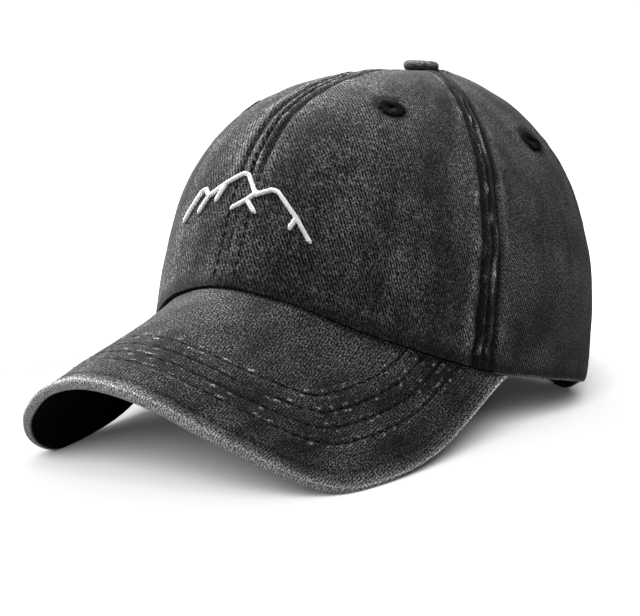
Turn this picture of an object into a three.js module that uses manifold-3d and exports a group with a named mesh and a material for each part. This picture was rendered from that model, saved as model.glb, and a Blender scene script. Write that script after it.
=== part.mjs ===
// Ponytail baseball cap: six crown panels, a curved brim, a teardrop slot under the button
// and a half-moon opening with an adjustable strap and a slide buckle below it.
// Millimetres and degrees. The brim points along -Y, +X is the wearer's left and +Z is up.
// Angles round the crown start at the front (-Y) and grow towards +X.
import * as THREE from 'three';
import { mergeVertices } from 'three/addons/utils/BufferGeometryUtils.js';
import Module from 'manifold-3d';

const wasm = await Module();
wasm.setup();

// Crown
const CROWN_HALF_WIDTH = 79;
const CROWN_FRONT_DEPTH = 110.2;
const CROWN_BACK_DEPTH = 86.3;
const CROWN_TOP = 134.3;
const RIM_SHIFT = 31.4;
const FRONT_RIM_LIFT = 61;
const PANEL_PUFF = 4.2;
const CLOTH = 1.8;
const GAP = 0.3;
const BRIM_CLEARANCE = 0.5;
const FRONT_SEAM_ANGLE = 62.5;
const BACK_SEAM_ANGLE = 125.3;

// Brim
const BRIM_END_ANGLE = 69.3;
const BRIM_REACH = 69.5;
const BRIM_FLARE = 18.4;
const BRIM_THICKNESS = 3.4;
const BRIM_END_THICKNESS = 1.2;

// Teardrop slot and half-moon opening, as seen square on from behind
const SLOT_HALF_WIDTH = 16.8;
const SLOT_TOP = 123.4;
const SLOT_WIDEST = 100;
const SLOT_TIP = 58;
const SLOT_BINDING_WIDTH = 10.3;
const ARCH_HALF_WIDTH = 41;
const ARCH_TOP = 47;
const ARCH_SPRING = 12;
const ARCH_BINDING_WIDTH = 11;
const BINDING_CLOTH = 1.1;

// Sweatband, strap and slide buckle
const SWEATBAND_HEIGHT = 30;
const SWEATBAND_CLOTH = 1.4;
const STRAP_HEIGHT = 17;
const STRAP_CLOTH = 1.6;
const STRAP_TUCK = 11;
const BUCKLE_WIDTH = 19;
const BUCKLE_WIRE = 1.9;
const BUCKLE_OFFSET = 25;
const BUCKLE_CLEARANCE = 1.4;

// Button, eyelets and embroidery
const BUTTON_RADIUS = 7;
const BUTTON_HEIGHT = 4.6;
const BUTTON_SHANK_RADIUS = 3;
const EYELET_RADIUS = 5.2;
const EYELET_HOLE_RADIUS = 1.6;
const EYELET_BARREL_RADIUS = 3.9;
const EYELET_RAISE = 0.8;
const RIDGE_HALF_WIDTH = 28;
const RIDGE_BASE = 22;
const RIDGE_HEIGHT = 20.5;
const THREAD_WIDTH = 1.9;
const THREAD_RAISE = 0.9;

// Numbers of facets
const PANEL_STEPS = 11;
const PANEL_ROWS = 15;
const BRIM_STEPS = 36;
const STRAP_STEPS = 16;
const ROUND_STEPS = 12;
const ARC_STEPS = 10;

// Roundness of the crown: exponent of its plan and of its upright profile at each angle
const CROWN_FORM = [
  { angle: 0, plan: 3.3, profile: 3.6 },
  { angle: 30, plan: 2.8, profile: 3.05 },
  { angle: 60, plan: 1.9, profile: 2.4 },
  { angle: 110, plan: 1.6, profile: 2.7 },
  { angle: 180, plan: 1.9, profile: 2.2 },
];

// Height of the rim over the floor, as a share of its height at the front
const RIM_LINE = [
  { angle: 0, lift: 1 },
  { angle: 17, lift: 0.93 },
  { angle: 35, lift: 0.746 },
  { angle: 70, lift: 0.403 },
  { angle: 110, lift: 0.172 },
  { angle: 126, lift: 0.105 },
  { angle: 140, lift: 0 },
  { angle: 180, lift: 0 },
];

// Outer edge of the brim from its middle (0) to its end (1): how far it flares sideways and
// reaches forward of the rim, and its height as a share of the rim's height above it
const BRIM_EDGE = [
  { share: 0, flare: 0, reach: 1, lift: 0.603 },
  { share: 0.1, flare: 0.53, reach: 0.96, lift: 0.54 },
  { share: 0.2, flare: 0.946, reach: 0.866, lift: 0.382 },
  { share: 0.3, flare: 1.08, reach: 0.764, lift: 0.235 },
  { share: 0.4, flare: 1, reach: 0.675, lift: 0.11 },
  { share: 0.6, flare: 0.614, reach: 0.511, lift: 0 },
  { share: 0.8, flare: 0.239, reach: 0.223, lift: 0.206 },
  { share: 1, flare: 0, reach: 0, lift: 1 },
];

// Section of the brim from its outer edge to the crown and back: share of the way out,
// and share of the thickness above the underside
const BRIM_SECTION = [
  { out: 1, up: 0.7 },
  { out: 0.985, up: 1 },
  { out: 0.8, up: 1 },
  { out: 0.6, up: 1 },
  { out: 0.4, up: 1 },
  { out: 0.2, up: 1 },
  { out: 0, up: 1 },
  { out: 0, up: 0 },
  { out: 0.2, up: 0 },
  { out: 0.4, up: 0 },
  { out: 0.6, up: 0 },
  { out: 0.8, up: 0 },
  { out: 0.985, up: 0 },
  { out: 1, up: 0.3 },
];

// Places of the embroidered eyelets on the wearer's left; the right side mirrors them
const EYELETS = [
  { name: 'front', angle: 31.3, rise: 0.54 },
  { name: 'side', angle: 90, rise: 0.49 },
  { name: 'back', angle: 138, rise: 0.54 },
];

// Mountain ridge: each stroke runs through points given as shares of its half width to the
// wearer's left and of its height above its base line
const RIDGE_STROKES = [
  [
    { across: -1, up: 0.3 },
    { across: -0.74, up: 0.78 },
    { across: -0.6, up: 0.58 },
    { across: -0.05, up: 1 },
    { across: 0.2, up: 0.64 },
    { across: 0.48, up: 0.72 },
    { across: 0.8, up: 0.34 },
    { across: 1, up: 0.02 },
  ],
  [
    { across: -0.6, up: 0.58 },
    { across: -0.7, up: 0.36 },
  ],
  [
    { across: -0.33, up: 0.79 },
    { across: -0.42, up: 0.52 },
  ],
  [
    { across: 0.2, up: 0.64 },
    { across: 0.08, up: 0.5 },
    { across: -0.12, up: 0.34 },
  ],
  [
    { across: 0.08, up: 0.5 },
    { across: 0.24, up: 0.28 },
  ],
  [
    { across: 0.8, up: 0.34 },
    { across: 0.74, up: 0.14 },
  ],
];

const COLOURS = {
  cloth: { color: '#3a3b3c', roughness: 0.95, metalness: 0 },
  brim: { color: '#424344', roughness: 0.95, metalness: 0 },
  binding: { color: '#333435', roughness: 0.95, metalness: 0 },
  lining: { color: '#1c1c1d', roughness: 0.98, metalness: 0 },
  thread: { color: '#121212', roughness: 0.9, metalness: 0 },
  whiteThread: { color: '#f1f1ee', roughness: 0.6, metalness: 0 },
  metal: { color: '#8b8069', roughness: 0.4, metalness: 0.9 },
};

const { abs, acos, asin, cos, max, min, sign, sin } = Math;
const radians = THREE.MathUtils.degToRad;
const degrees = THREE.MathUtils.radToDeg;
const UP = new THREE.Vector3(0, 0, 1);

// Smooth curve through one column of a table; an even column is level at its first row
function tableValue(table, key, column, at, even = true) {
  const last = table.length - 1;
  const found = table.findIndex((row) => row[key] > at);
  const i = found < 0 ? last - 1 : max(found - 1, 0);
  const slopeOf = (k) => (table[k + 1][column] - table[k][column]) / (table[k + 1][key] - table[k][key]);
  const tangent = (k) => {
    if (k === 0) {
      return even ? 0 : slopeOf(0);
    }
    if (k === last) {
      return slopeOf(last - 1);
    }
    const before = slopeOf(k - 1);
    const after = slopeOf(k);
    if (before * after === 0) {
      return 0;
    }
    const span = table[k + 1][key] - table[k - 1][key];
    return (before * (table[k + 1][key] - table[k][key]) + after * (table[k][key] - table[k - 1][key])) / span;
  };
  const width = table[i + 1][key] - table[i][key];
  const s = (at - table[i][key]) / width;
  const early = (1 + 2 * s) * (1 - s) * (1 - s);
  const leaving = s * (1 - s) * (1 - s) * width;
  const arriving = s * s * (s - 1) * width;
  return table[i][column] * early + table[i + 1][column] * (1 - early)
    + tangent(i) * leaving + tangent(i + 1) * arriving;
}

// Angle from the front without its side, from 0 to 180
function foldedAngle(angle) {
  return abs(((angle + 540) % 360) - 180);
}

function rimHeight(angle) {
  return FRONT_RIM_LIFT * tableValue(RIM_LINE, 'angle', 'lift', foldedAngle(angle));
}

// Each panel swells a little between its seams
function panelPuff(angle, rise) {
  const seams = [0, FRONT_SEAM_ANGLE, BACK_SEAM_ANGLE, 180];
  const turn = min(foldedAngle(angle), 179.999);
  const panel = seams.findIndex((seam) => seam > turn) - 1;
  const share = (turn - seams[panel]) / (seams[panel + 1] - seams[panel]);
  return PANEL_PUFF * sin(Math.PI * share) * sin(Math.PI * rise ** 0.8);
}

// Outer face of the crown: rise is 0 at the rim and 1 under the button
function crownSurface(angle, rise) {
  const turn = foldedAngle(angle);
  const plan = tableValue(CROWN_FORM, 'angle', 'plan', turn);
  const profile = tableValue(CROWN_FORM, 'angle', 'profile', turn);
  const quarter = radians(90 * min(rise, 1));
  const spread = max(cos(quarter), 0) ** (2 / plan);
  const height = sin(quarter) ** (2 / profile);
  const puff = panelPuff(angle, rise);
  const swell = 1 + puff / CROWN_FRONT_DEPTH;
  const depth = turn < 90 ? CROWN_FRONT_DEPTH : CROWN_BACK_DEPTH;
  const rim = rimHeight(angle);
  return new THREE.Vector3(
    CROWN_HALF_WIDTH * sin(radians(angle)) * spread * swell,
    -depth * cos(radians(angle)) * spread * swell - RIM_SHIFT * (1 - height),
    rim + (CROWN_TOP - rim) * height + 0.5 * puff * height,
  );
}

function crownNormal(angle, rise) {
  const step = 0.002;
  const low = min(max(rise, step), 1 - 2 * step);
  const along = crownSurface(angle + 0.2, low).sub(crownSurface(angle - 0.2, low));
  const upward = crownSurface(angle, low + step).sub(crownSurface(angle, low - step));
  return along.cross(upward).normalize();
}

// Point at a depth under the outer face; a negative depth stands proud of it.
// The rim's own edge is cut level.
function crownPoint(angle, rise, depth) {
  const normal = crownNormal(angle, rise);
  if (rise === 0) {
    normal.setZ(0).normalize();
  }
  return crownSurface(angle, rise).addScaledVector(normal, -depth);
}

// Rise at which the crown comes in to a radius round the button axis
function riseAtRadius(angle, radius) {
  const turn = foldedAngle(angle);
  const plan = tableValue(CROWN_FORM, 'angle', 'plan', turn);
  const depth = turn < 90 ? CROWN_FRONT_DEPTH : CROWN_BACK_DEPTH;
  const full = Math.hypot(CROWN_HALF_WIDTH * sin(radians(angle)), depth * cos(radians(angle)));
  return degrees(acos((radius / full) ** (plan / 2))) / 90;
}

// Rise at which the crown reaches a height above the floor
function riseAtHeight(angle, height) {
  const profile = tableValue(CROWN_FORM, 'angle', 'profile', foldedAngle(angle));
  const rim = rimHeight(angle);
  const share = max(height - rim, 0) / (CROWN_TOP - rim);
  return degrees(asin(share ** (profile / 2))) / 90;
}

// Distance along the crown per degree, for gaps beside a seam
function millimetresPerDegree(angle, rise) {
  return crownSurface(angle + 0.5, rise).distanceTo(crownSurface(angle - 0.5, rise));
}

// Rows close up towards the rim and the button, where the profile bends most
function rowRise(share) {
  return share * share * (3 - 2 * share);
}

// Closed body through loops of points, which run clockwise as seen from the last loop
function loft(loops) {
  const size = loops[0].length;
  const faces = [];
  const quad = (a, b, c, d) => faces.push(a, b, c, a, c, d);
  for (let row = 0; row < loops.length - 1; row += 1) {
    for (let k = 0; k < size; k += 1) {
      const next = (k + 1) % size;
      quad(row * size + k, (row + 1) * size + k, (row + 1) * size + next, row * size + next);
    }
  }
  const end = (loops.length - 1) * size;
  for (let k = 0; k < size / 2 - 1; k += 1) {
    quad(k, k + 1, size - 2 - k, size - 1 - k);
    quad(end + size - 1 - k, end + size - 2 - k, end + k + 1, end + k);
  }
  const geometry = new THREE.BufferGeometry().setFromPoints(loops.flat());
  geometry.setIndex(faces);
  return geometry;
}

function toSolid(geometry) {
  const bare = geometry.clone();
  bare.deleteAttribute('normal');
  bare.deleteAttribute('uv');
  const merged = mergeVertices(bare, 1e-4);
  return new wasm.Manifold(new wasm.Mesh({
    numProp: 3,
    vertProperties: new Float32Array(merged.attributes.position.array),
    triVerts: new Uint32Array(merged.index.array),
  }));
}

function toGeometry(solid) {
  const { vertProperties, triVerts } = solid.getMesh();
  const geometry = new THREE.BufferGeometry();
  geometry.setAttribute('position', new THREE.BufferAttribute(vertProperties, 3));
  geometry.setIndex(new THREE.BufferAttribute(triVerts, 1));
  return geometry;
}

function makePiece(name, geometry, look) {
  geometry.computeVertexNormals();
  const piece = new THREE.Mesh(geometry, new THREE.MeshStandardMaterial(COLOURS[look]));
  piece.name = name;
  return piece;
}

// Cloth between two depths of the crown, between two angles and two rises
function crownCloth({ from, to, steps, rows, outer, inner, lowRise, highRise, sideGap = 0 }) {
  const loops = [];
  for (let i = 0; i <= steps; i += 1) {
    const angle = from + ((to - from) * i) / steps;
    const low = lowRise(angle);
    const high = highRise(angle);
    const inset = i === 0 ? sideGap : i === steps ? -sideGap : 0;
    const rises = Array.from({ length: rows + 1 }, (_, j) => low + (high - low) * rowRise(j / rows));
    const column = (depth) => rises.map((rise) => {
      const shifted = angle + inset / millimetresPerDegree(angle, max(rise, 0.001));
      return crownPoint(shifted, rise, depth);
    });
    loops.push([...column(outer), ...column(inner).reverse()]);
  }
  return loft(loops);
}

const buttonHoleRadius = BUTTON_SHANK_RADIUS + GAP;
const rimRise = () => 0;
const crownEndRise = (angle) => riseAtRadius(angle, buttonHoleRadius + CLOTH);

// Outlines seen from behind, as shapes in X and Z, grown outwards by a band's width
function teardropShape(grow) {
  const TOP_FORESHORTENING = 0.55;
  const halfWidth = SLOT_HALF_WIDTH + grow;
  const top = SLOT_TOP + grow * TOP_FORESHORTENING;
  const tip = SLOT_TIP - grow;
  const fall = SLOT_WIDEST - tip;
  const shoulder = SLOT_WIDEST - 0.62 * fall;
  const flank = tip + 0.24 * fall;
  const shape = new THREE.Shape();
  shape.moveTo(0, tip);
  shape.bezierCurveTo(0.7 * halfWidth, flank, halfWidth, shoulder, halfWidth, SLOT_WIDEST);
  shape.absellipse(0, SLOT_WIDEST, halfWidth, top - SLOT_WIDEST, 0, Math.PI, false);
  shape.bezierCurveTo(-halfWidth, shoulder, -0.7 * halfWidth, flank, 0, tip);
  return shape;
}

function archShape(grow) {
  const halfWidth = ARCH_HALF_WIDTH + grow;
  const below = -ARCH_TOP;
  const shape = new THREE.Shape();
  shape.moveTo(-halfWidth, below);
  shape.lineTo(halfWidth, below);
  shape.lineTo(halfWidth, ARCH_SPRING);
  shape.absellipse(0, ARCH_SPRING, halfWidth, ARCH_TOP + grow - ARCH_SPRING, 0, Math.PI, false);
  shape.lineTo(-halfWidth, below);
  return shape;
}

// Prism of an outline that passes through the back of the crown along +Y
function backCutter(shape) {
  const depth = CROWN_BACK_DEPTH + CROWN_FRONT_DEPTH;
  const geometry = new THREE.ExtrudeGeometry(shape, { depth, bevelEnabled: false, curveSegments: ARC_STEPS });
  geometry.rotateX(Math.PI / 2);
  geometry.translate(0, depth, 0);
  return toSolid(geometry);
}

const slotCutter = backCutter(teardropShape(0));
const archCutter = backCutter(archShape(0));

// Eyelets: a barrel in the panel's hole and a worked flange on its outer face
function eyeletPlace(angle, rise) {
  return {
    position: crownSurface(angle, rise),
    turn: new THREE.Quaternion().setFromUnitVectors(new THREE.Vector3(0, 1, 0), crownNormal(angle, rise)),
  };
}

function eyeletPiece(name, angle, rise) {
  const profile = [
    [EYELET_HOLE_RADIUS, -CLOTH],
    [EYELET_BARREL_RADIUS, -CLOTH],
    [EYELET_BARREL_RADIUS, GAP],
    [EYELET_RADIUS, GAP],
    [EYELET_RADIUS - 0.3 * EYELET_RAISE, GAP + 0.7 * EYELET_RAISE],
    [0.5 * (EYELET_RADIUS + EYELET_HOLE_RADIUS), GAP + EYELET_RAISE],
    [EYELET_HOLE_RADIUS, 0.5 * EYELET_RAISE],
    [EYELET_HOLE_RADIUS, -CLOTH],
  ].map(([radius, height]) => new THREE.Vector2(radius, height));
  const piece = makePiece(name, new THREE.LatheGeometry(profile, ROUND_STEPS), 'thread');
  const { position, turn } = eyeletPlace(angle, rise);
  piece.position.copy(position);
  piece.quaternion.copy(turn);
  return piece;
}

function eyeletCutter(angle, rise) {
  const radius = EYELET_BARREL_RADIUS + GAP;
  const { position, turn } = eyeletPlace(angle, rise);
  const geometry = new THREE.CylinderGeometry(radius, radius, 6 * CLOTH, ROUND_STEPS);
  geometry.applyQuaternion(turn);
  geometry.translate(position.x, position.y, position.z);
  return toSolid(geometry);
}

// Six crown panels, three on each side, with the two openings cut through the back pair
function crownPanels() {
  const bounds = [0, FRONT_SEAM_ANGLE, BACK_SEAM_ANGLE, 180];
  const pieces = [];
  for (const side of [1, -1]) {
    EYELETS.forEach(({ name, angle, rise }, panel) => {
      const ends = [side * bounds[panel], side * bounds[panel + 1]].sort((a, b) => a - b);
      let solid = toSolid(crownCloth({
        from: ends[0],
        to: ends[1],
        steps: PANEL_STEPS,
        rows: PANEL_ROWS,
        outer: 0,
        inner: CLOTH,
        lowRise: rimRise,
        highRise: crownEndRise,
        sideGap: GAP / 2,
      }));
      solid = solid.subtract(eyeletCutter(side * angle, rise));
      if (name === 'back') {
        solid = solid.subtract(slotCutter).subtract(archCutter);
      }
      const hand = side > 0 ? 'left' : 'right';
      pieces.push(makePiece(`panel_${name}_${hand}`, toGeometry(solid), 'cloth'));
      pieces.push(eyeletPiece(`eyelet_${name}_${hand}`, side * angle, rise));
    });
  }
  return pieces;
}

// Bindings: tape laid on the outer face round each opening, on the same facets as the panels
function backTape() {
  return toSolid(crownCloth({
    from: BACK_SEAM_ANGLE,
    to: 360 - BACK_SEAM_ANGLE,
    steps: 2 * PANEL_STEPS,
    rows: PANEL_ROWS,
    outer: -GAP - BINDING_CLOTH,
    inner: -GAP,
    lowRise: rimRise,
    highRise: crownEndRise,
  }));
}

function openingBindings() {
  const tape = backTape();
  const archBand = tape.intersect(backCutter(archShape(ARCH_BINDING_WIDTH))).subtract(archCutter);
  const slotBand = tape.intersect(backCutter(teardropShape(SLOT_BINDING_WIDTH)))
    .subtract(slotCutter)
    .subtract(backCutter(archShape(ARCH_BINDING_WIDTH + GAP)));
  return [
    makePiece('binding_half_moon', toGeometry(archBand), 'binding'),
    makePiece('binding_slot', toGeometry(slotBand), 'binding'),
  ];
}

// The brim thins out and tucks under the rim over the last bit before its ends
function endTaper(share) {
  return share ** 8;
}

// Brim: ruled from under the front rim to its outer edge
function brimRimPoint(share) {
  const inner = crownPoint(share * BRIM_END_ANGLE, 0, CLOTH);
  inner.z -= BRIM_CLEARANCE;
  return inner;
}

function brimEdgePoint(share) {
  const angle = share * BRIM_END_ANGLE;
  const column = (name) => tableValue(BRIM_EDGE, 'share', name, abs(share), name !== 'flare');
  const rim = crownSurface(angle, 0);
  const tuck = (BRIM_END_THICKNESS + BRIM_CLEARANCE) * endTaper(share);
  return new THREE.Vector3(
    rim.x + sign(share) * BRIM_FLARE * column('flare'),
    rim.y - BRIM_REACH * column('reach'),
    rim.z * column('lift') - tuck,
  );
}

function brimNormal(share, out) {
  const step = 0.01;
  const at = (s, o) => brimRimPoint(s).lerp(brimEdgePoint(s), o);
  const s = THREE.MathUtils.clamp(share, step - 1, 1 - step);
  const across = at(s + step, out).sub(at(s - step, out));
  const outward = brimEdgePoint(s).sub(brimRimPoint(s));
  return outward.cross(across).normalize();
}

function brimPiece() {
  const loops = [];
  for (let i = 0; i <= BRIM_STEPS; i += 1) {
    const share = (2 * i) / BRIM_STEPS - 1;
    const thickness = THREE.MathUtils.lerp(BRIM_THICKNESS, BRIM_END_THICKNESS, endTaper(share));
    const rimTop = brimRimPoint(share);
    const rimBottom = rimTop.clone().addScaledVector(brimNormal(share, 0), -thickness);
    const edgeBottom = brimEdgePoint(share);
    const edgeTop = edgeBottom.clone().addScaledVector(brimNormal(share, 1), thickness);
    loops.push(BRIM_SECTION.map(({ out, up }) => {
      const bottom = rimBottom.clone().lerp(edgeBottom, out);
      const top = rimTop.clone().lerp(edgeTop, out);
      return bottom.lerp(top, up);
    }));
  }
  return makePiece('brim', loft(loops), 'brim');
}

// Angle at which the rim reaches a distance sideways of the middle of the back
function backAngle(distance) {
  return 180 - degrees(asin(distance / CROWN_HALF_WIDTH));
}

const strapEndAngle = backAngle(ARCH_HALF_WIDTH + STRAP_TUCK);
const strapBottom = BUCKLE_WIRE + GAP;
const strapTop = strapBottom + STRAP_HEIGHT;
const sweatbandDepth = CLOTH + GAP;
const tabDepth = CLOTH + GAP;
const strapDepth = tabDepth + STRAP_CLOTH + GAP;
const buckleAngle = 360 - backAngle(BUCKLE_OFFSET);
const buckleRise = riseAtHeight(buckleAngle, (strapBottom + strapTop) / 2);
const buckleHalfAngle = (0.5 * BUCKLE_WIDTH + BUCKLE_CLEARANCE) / millimetresPerDegree(buckleAngle, buckleRise);

function sweatbandPiece() {
  const end = strapEndAngle - 1;
  const geometry = crownCloth({
    from: -end,
    to: end,
    steps: 4 * PANEL_STEPS,
    rows: 2,
    outer: sweatbandDepth,
    inner: sweatbandDepth + SWEATBAND_CLOTH,
    lowRise: rimRise,
    highRise: (angle) => riseAtHeight(angle, rimHeight(angle) + SWEATBAND_HEIGHT),
  });
  return makePiece('sweatband', geometry, 'lining');
}

// The long strap runs through the buckle and on behind the short tab that carries it
function strapBand(name, from, to, depth, steps) {
  const geometry = crownCloth({
    from,
    to,
    steps,
    rows: 2,
    outer: depth,
    inner: depth + STRAP_CLOTH,
    lowRise: (angle) => riseAtHeight(angle, strapBottom),
    highRise: (angle) => riseAtHeight(angle, strapTop),
  });
  return makePiece(name, geometry, 'binding');
}

// Slide buckle: a frame in front of the strap with a bar behind it
function bucklePiece() {
  const halfWidth = BUCKLE_WIDTH / 2;
  const halfHeight = STRAP_HEIGHT / 2 + GAP + BUCKLE_WIRE;
  const frame = new THREE.Shape();
  frame.moveTo(-halfWidth, -halfHeight);
  frame.lineTo(halfWidth, -halfHeight);
  frame.lineTo(halfWidth, halfHeight);
  frame.lineTo(-halfWidth, halfHeight);
  frame.closePath();
  const opening = new THREE.Path();
  opening.moveTo(BUCKLE_WIRE - halfWidth, BUCKLE_WIRE - halfHeight);
  opening.lineTo(BUCKLE_WIRE - halfWidth, halfHeight - BUCKLE_WIRE);
  opening.lineTo(halfWidth - BUCKLE_WIRE, halfHeight - BUCKLE_WIRE);
  opening.lineTo(halfWidth - BUCKLE_WIRE, BUCKLE_WIRE - halfHeight);
  opening.closePath();
  frame.holes.push(opening);
  const front = new THREE.ExtrudeGeometry(frame, { depth: BUCKLE_WIRE, bevelEnabled: false });
  front.translate(0, 0, GAP);
  const reach = STRAP_CLOTH + 2 * GAP + BUCKLE_WIRE;
  let solid = toSolid(front);
  for (const end of [1, -1]) {
    const leg = new THREE.BoxGeometry(BUCKLE_WIRE, BUCKLE_WIRE, reach + BUCKLE_WIRE);
    leg.translate(0, end * (halfHeight - BUCKLE_WIRE / 2), GAP + BUCKLE_WIRE - (reach + BUCKLE_WIRE) / 2);
    solid = solid.add(toSolid(leg));
  }
  const bar = new THREE.BoxGeometry(BUCKLE_WIRE, 2 * halfHeight, BUCKLE_WIRE);
  bar.translate(0, 0, -STRAP_CLOTH - GAP - BUCKLE_WIRE / 2);
  solid = solid.add(toSolid(bar));
  const piece = makePiece('buckle', toGeometry(solid), 'metal');
  const outward = crownNormal(buckleAngle, buckleRise);
  const upward = UP.clone().addScaledVector(outward, -outward.z).normalize();
  const across = upward.clone().cross(outward);
  piece.quaternion.setFromRotationMatrix(new THREE.Matrix4().makeBasis(across, upward, outward));
  piece.position.copy(crownPoint(buckleAngle, buckleRise, strapDepth));
  return piece;
}

// Covered button with a shank down through the panels
function buttonPiece() {
  const seat = CROWN_TOP + GAP;
  const shankEnd = -CLOTH - 2 * GAP;
  const profile = [
    [0, shankEnd],
    [BUTTON_SHANK_RADIUS, shankEnd],
    [BUTTON_SHANK_RADIUS, 0],
    [BUTTON_RADIUS, 0],
    [BUTTON_RADIUS, 0.35 * BUTTON_HEIGHT],
    [0.9 * BUTTON_RADIUS, 0.7 * BUTTON_HEIGHT],
    [0.62 * BUTTON_RADIUS, 0.93 * BUTTON_HEIGHT],
    [0, BUTTON_HEIGHT],
  ].map(([radius, height]) => new THREE.Vector2(radius, height));
  const piece = makePiece('button', new THREE.LatheGeometry(profile, 2 * ROUND_STEPS), 'cloth');
  piece.rotation.x = Math.PI / 2;
  piece.position.z = seat;
  return piece;
}

// Embroidered ridge line: short bars of thread that follow the front of the crown
function ridgePlace({ across, up }) {
  const frontPerDegree = millimetresPerDegree(5, 0.12);
  const angle = (across * RIDGE_HALF_WIDTH) / frontPerDegree;
  const target = RIDGE_BASE + up * RIDGE_HEIGHT;
  let rise = 0;
  let travelled = 0;
  const step = 0.002;
  while (travelled < target && rise < 1) {
    travelled += crownSurface(angle, rise + step).distanceTo(crownSurface(angle, rise));
    rise += step;
  }
  return { angle, rise };
}

// A straight bar's middle dips towards the round crown by up to this much
const BAR_SAG = 0.3;

function threadBar(start, end) {
  const angle = (start.angle + end.angle) / 2;
  const rise = (start.rise + end.rise) / 2;
  const seat = -GAP - BAR_SAG;
  const from = crownPoint(start.angle, start.rise, seat);
  const to = crownPoint(end.angle, end.rise, seat);
  const along = to.clone().sub(from);
  const length = along.length();
  along.normalize();
  const outward = crownNormal(angle, rise);
  outward.addScaledVector(along, -outward.dot(along)).normalize();
  const across = outward.clone().cross(along);
  const geometry = new THREE.BoxGeometry(length + 0.8 * THREAD_WIDTH, THREAD_WIDTH, THREAD_RAISE);
  geometry.translate(0, 0, THREAD_RAISE / 2);
  geometry.applyMatrix4(new THREE.Matrix4().makeBasis(along, across, outward));
  const middle = from.add(to).multiplyScalar(0.5);
  geometry.translate(middle.x, middle.y, middle.z);
  return toSolid(geometry);
}

function ridgePiece() {
  const BAR_LENGTH = 9;
  let solid = null;
  for (const stroke of RIDGE_STROKES) {
    for (let i = 0; i < stroke.length - 1; i += 1) {
      const first = stroke[i];
      const second = stroke[i + 1];
      const length = Math.hypot(
        (second.across - first.across) * RIDGE_HALF_WIDTH,
        (second.up - first.up) * RIDGE_HEIGHT,
      );
      const bars = Math.ceil(length / BAR_LENGTH);
      const place = (k) => ridgePlace({
        across: THREE.MathUtils.lerp(first.across, second.across, k / bars),
        up: THREE.MathUtils.lerp(first.up, second.up, k / bars),
      });
      for (let k = 0; k < bars; k += 1) {
        const bar = threadBar(place(k), place(k + 1));
        solid = solid ? solid.add(bar) : bar;
      }
    }
  }
  return makePiece('mountain_embroidery', toGeometry(solid), 'whiteThread');
}

const cap = new THREE.Group();
cap.add(...crownPanels());
cap.add(...openingBindings());
cap.add(brimPiece());
cap.add(sweatbandPiece());
cap.add(strapBand('strap', strapEndAngle, 360 - strapEndAngle, strapDepth, STRAP_STEPS));
cap.add(strapBand('strap_tab', buckleAngle + buckleHalfAngle, 360 - strapEndAngle, tabDepth, STRAP_STEPS / 4));
cap.add(bucklePiece());
cap.add(buttonPiece());
cap.add(ridgePiece());

// The origin is under the middle of the whole cap
cap.updateMatrixWorld(true);
const box = new THREE.Box3().setFromObject(cap, true);
const middle = box.getCenter(new THREE.Vector3());
cap.position.set(-middle.x, -middle.y, -box.min.z);
cap.updateMatrixWorld(true);

export default cap;
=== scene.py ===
"""Looks of a washed cotton ponytail cap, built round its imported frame. The brim points along -Y."""
import math

import bpy
import numpy as np
from mathutils import Matrix, Vector


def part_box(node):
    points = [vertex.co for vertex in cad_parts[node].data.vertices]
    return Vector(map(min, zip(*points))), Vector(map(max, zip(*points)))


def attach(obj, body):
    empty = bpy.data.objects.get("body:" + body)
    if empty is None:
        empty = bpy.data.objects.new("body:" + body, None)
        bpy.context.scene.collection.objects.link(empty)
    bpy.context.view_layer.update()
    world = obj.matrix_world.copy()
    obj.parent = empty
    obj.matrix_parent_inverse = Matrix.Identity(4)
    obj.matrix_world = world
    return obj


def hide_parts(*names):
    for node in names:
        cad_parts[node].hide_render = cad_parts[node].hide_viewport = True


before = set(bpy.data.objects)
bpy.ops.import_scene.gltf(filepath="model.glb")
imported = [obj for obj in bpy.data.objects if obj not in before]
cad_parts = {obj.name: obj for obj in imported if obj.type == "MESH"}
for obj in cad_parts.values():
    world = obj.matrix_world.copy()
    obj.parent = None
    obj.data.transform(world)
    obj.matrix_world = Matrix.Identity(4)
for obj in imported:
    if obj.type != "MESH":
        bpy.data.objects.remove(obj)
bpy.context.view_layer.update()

MM = 0.001
BODY = "root"

# Camera, in degrees, millimetres and pixels
PHOTO_WIDTH = 640
CAMERA_AZIMUTH = 33.3
CAMERA_ELEVATION = 8.1
CAMERA_DISTANCE = 580.0
CAMERA_ROLL = -1.0
CAMERA_TARGET = (0.0, -79.4, 45.5)
FOCAL_PIXELS = 1522.5
SENSOR_WIDTH = 36.0

# Sizes of the cap in millimetres and degrees, as it is constructed
CROWN_HALF_WIDTH = 79.0
CROWN_FRONT_DEPTH = 110.2
CROWN_BACK_DEPTH = 86.3
CROWN_TOP = 134.3
RIM_SHIFT = 31.4
FRONT_RIM_LIFT = 61.0
PANEL_PUFF = 4.2
CLOTH = 1.8
GAP = 0.3
PANEL_TOP_RADIUS = 4.6
FRONT_SEAM = 62.5
BACK_SEAM = 125.3
BRIM_END_ANGLE = 69.3
BRIM_REACH = 69.5
BRIM_FLARE = 18.4
BRIM_THICKNESS = 3.4
BRIM_END_THICKNESS = 1.2
BRIM_CLEARANCE = 0.5
SLOT_HALF_WIDTH = 16.8
SLOT_TOP = 123.4
SLOT_WIDEST = 100.0
SLOT_TIP = 58.0
SLOT_BINDING = 10.3
SLOT_BINDING_RAISE = 1.25
ARCH_HALF_WIDTH = 41.0
ARCH_TOP = 47.0
ARCH_SPRING = 12.0
ARCH_BINDING = 11.0
ARCH_BINDING_RAISE = 1.7
BINDING_INSIDE = 0.6
OPENING_GROWTH = 4.0
SWEATBAND_HEIGHT = 30.0
SWEATBAND_CLOTH = 1.4
SWEATBAND_DROP = 1.8
STRAP_HEIGHT = 17.0
STRAP_CLOTH = 1.6
STRAP_TUCK = 11.0
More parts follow.
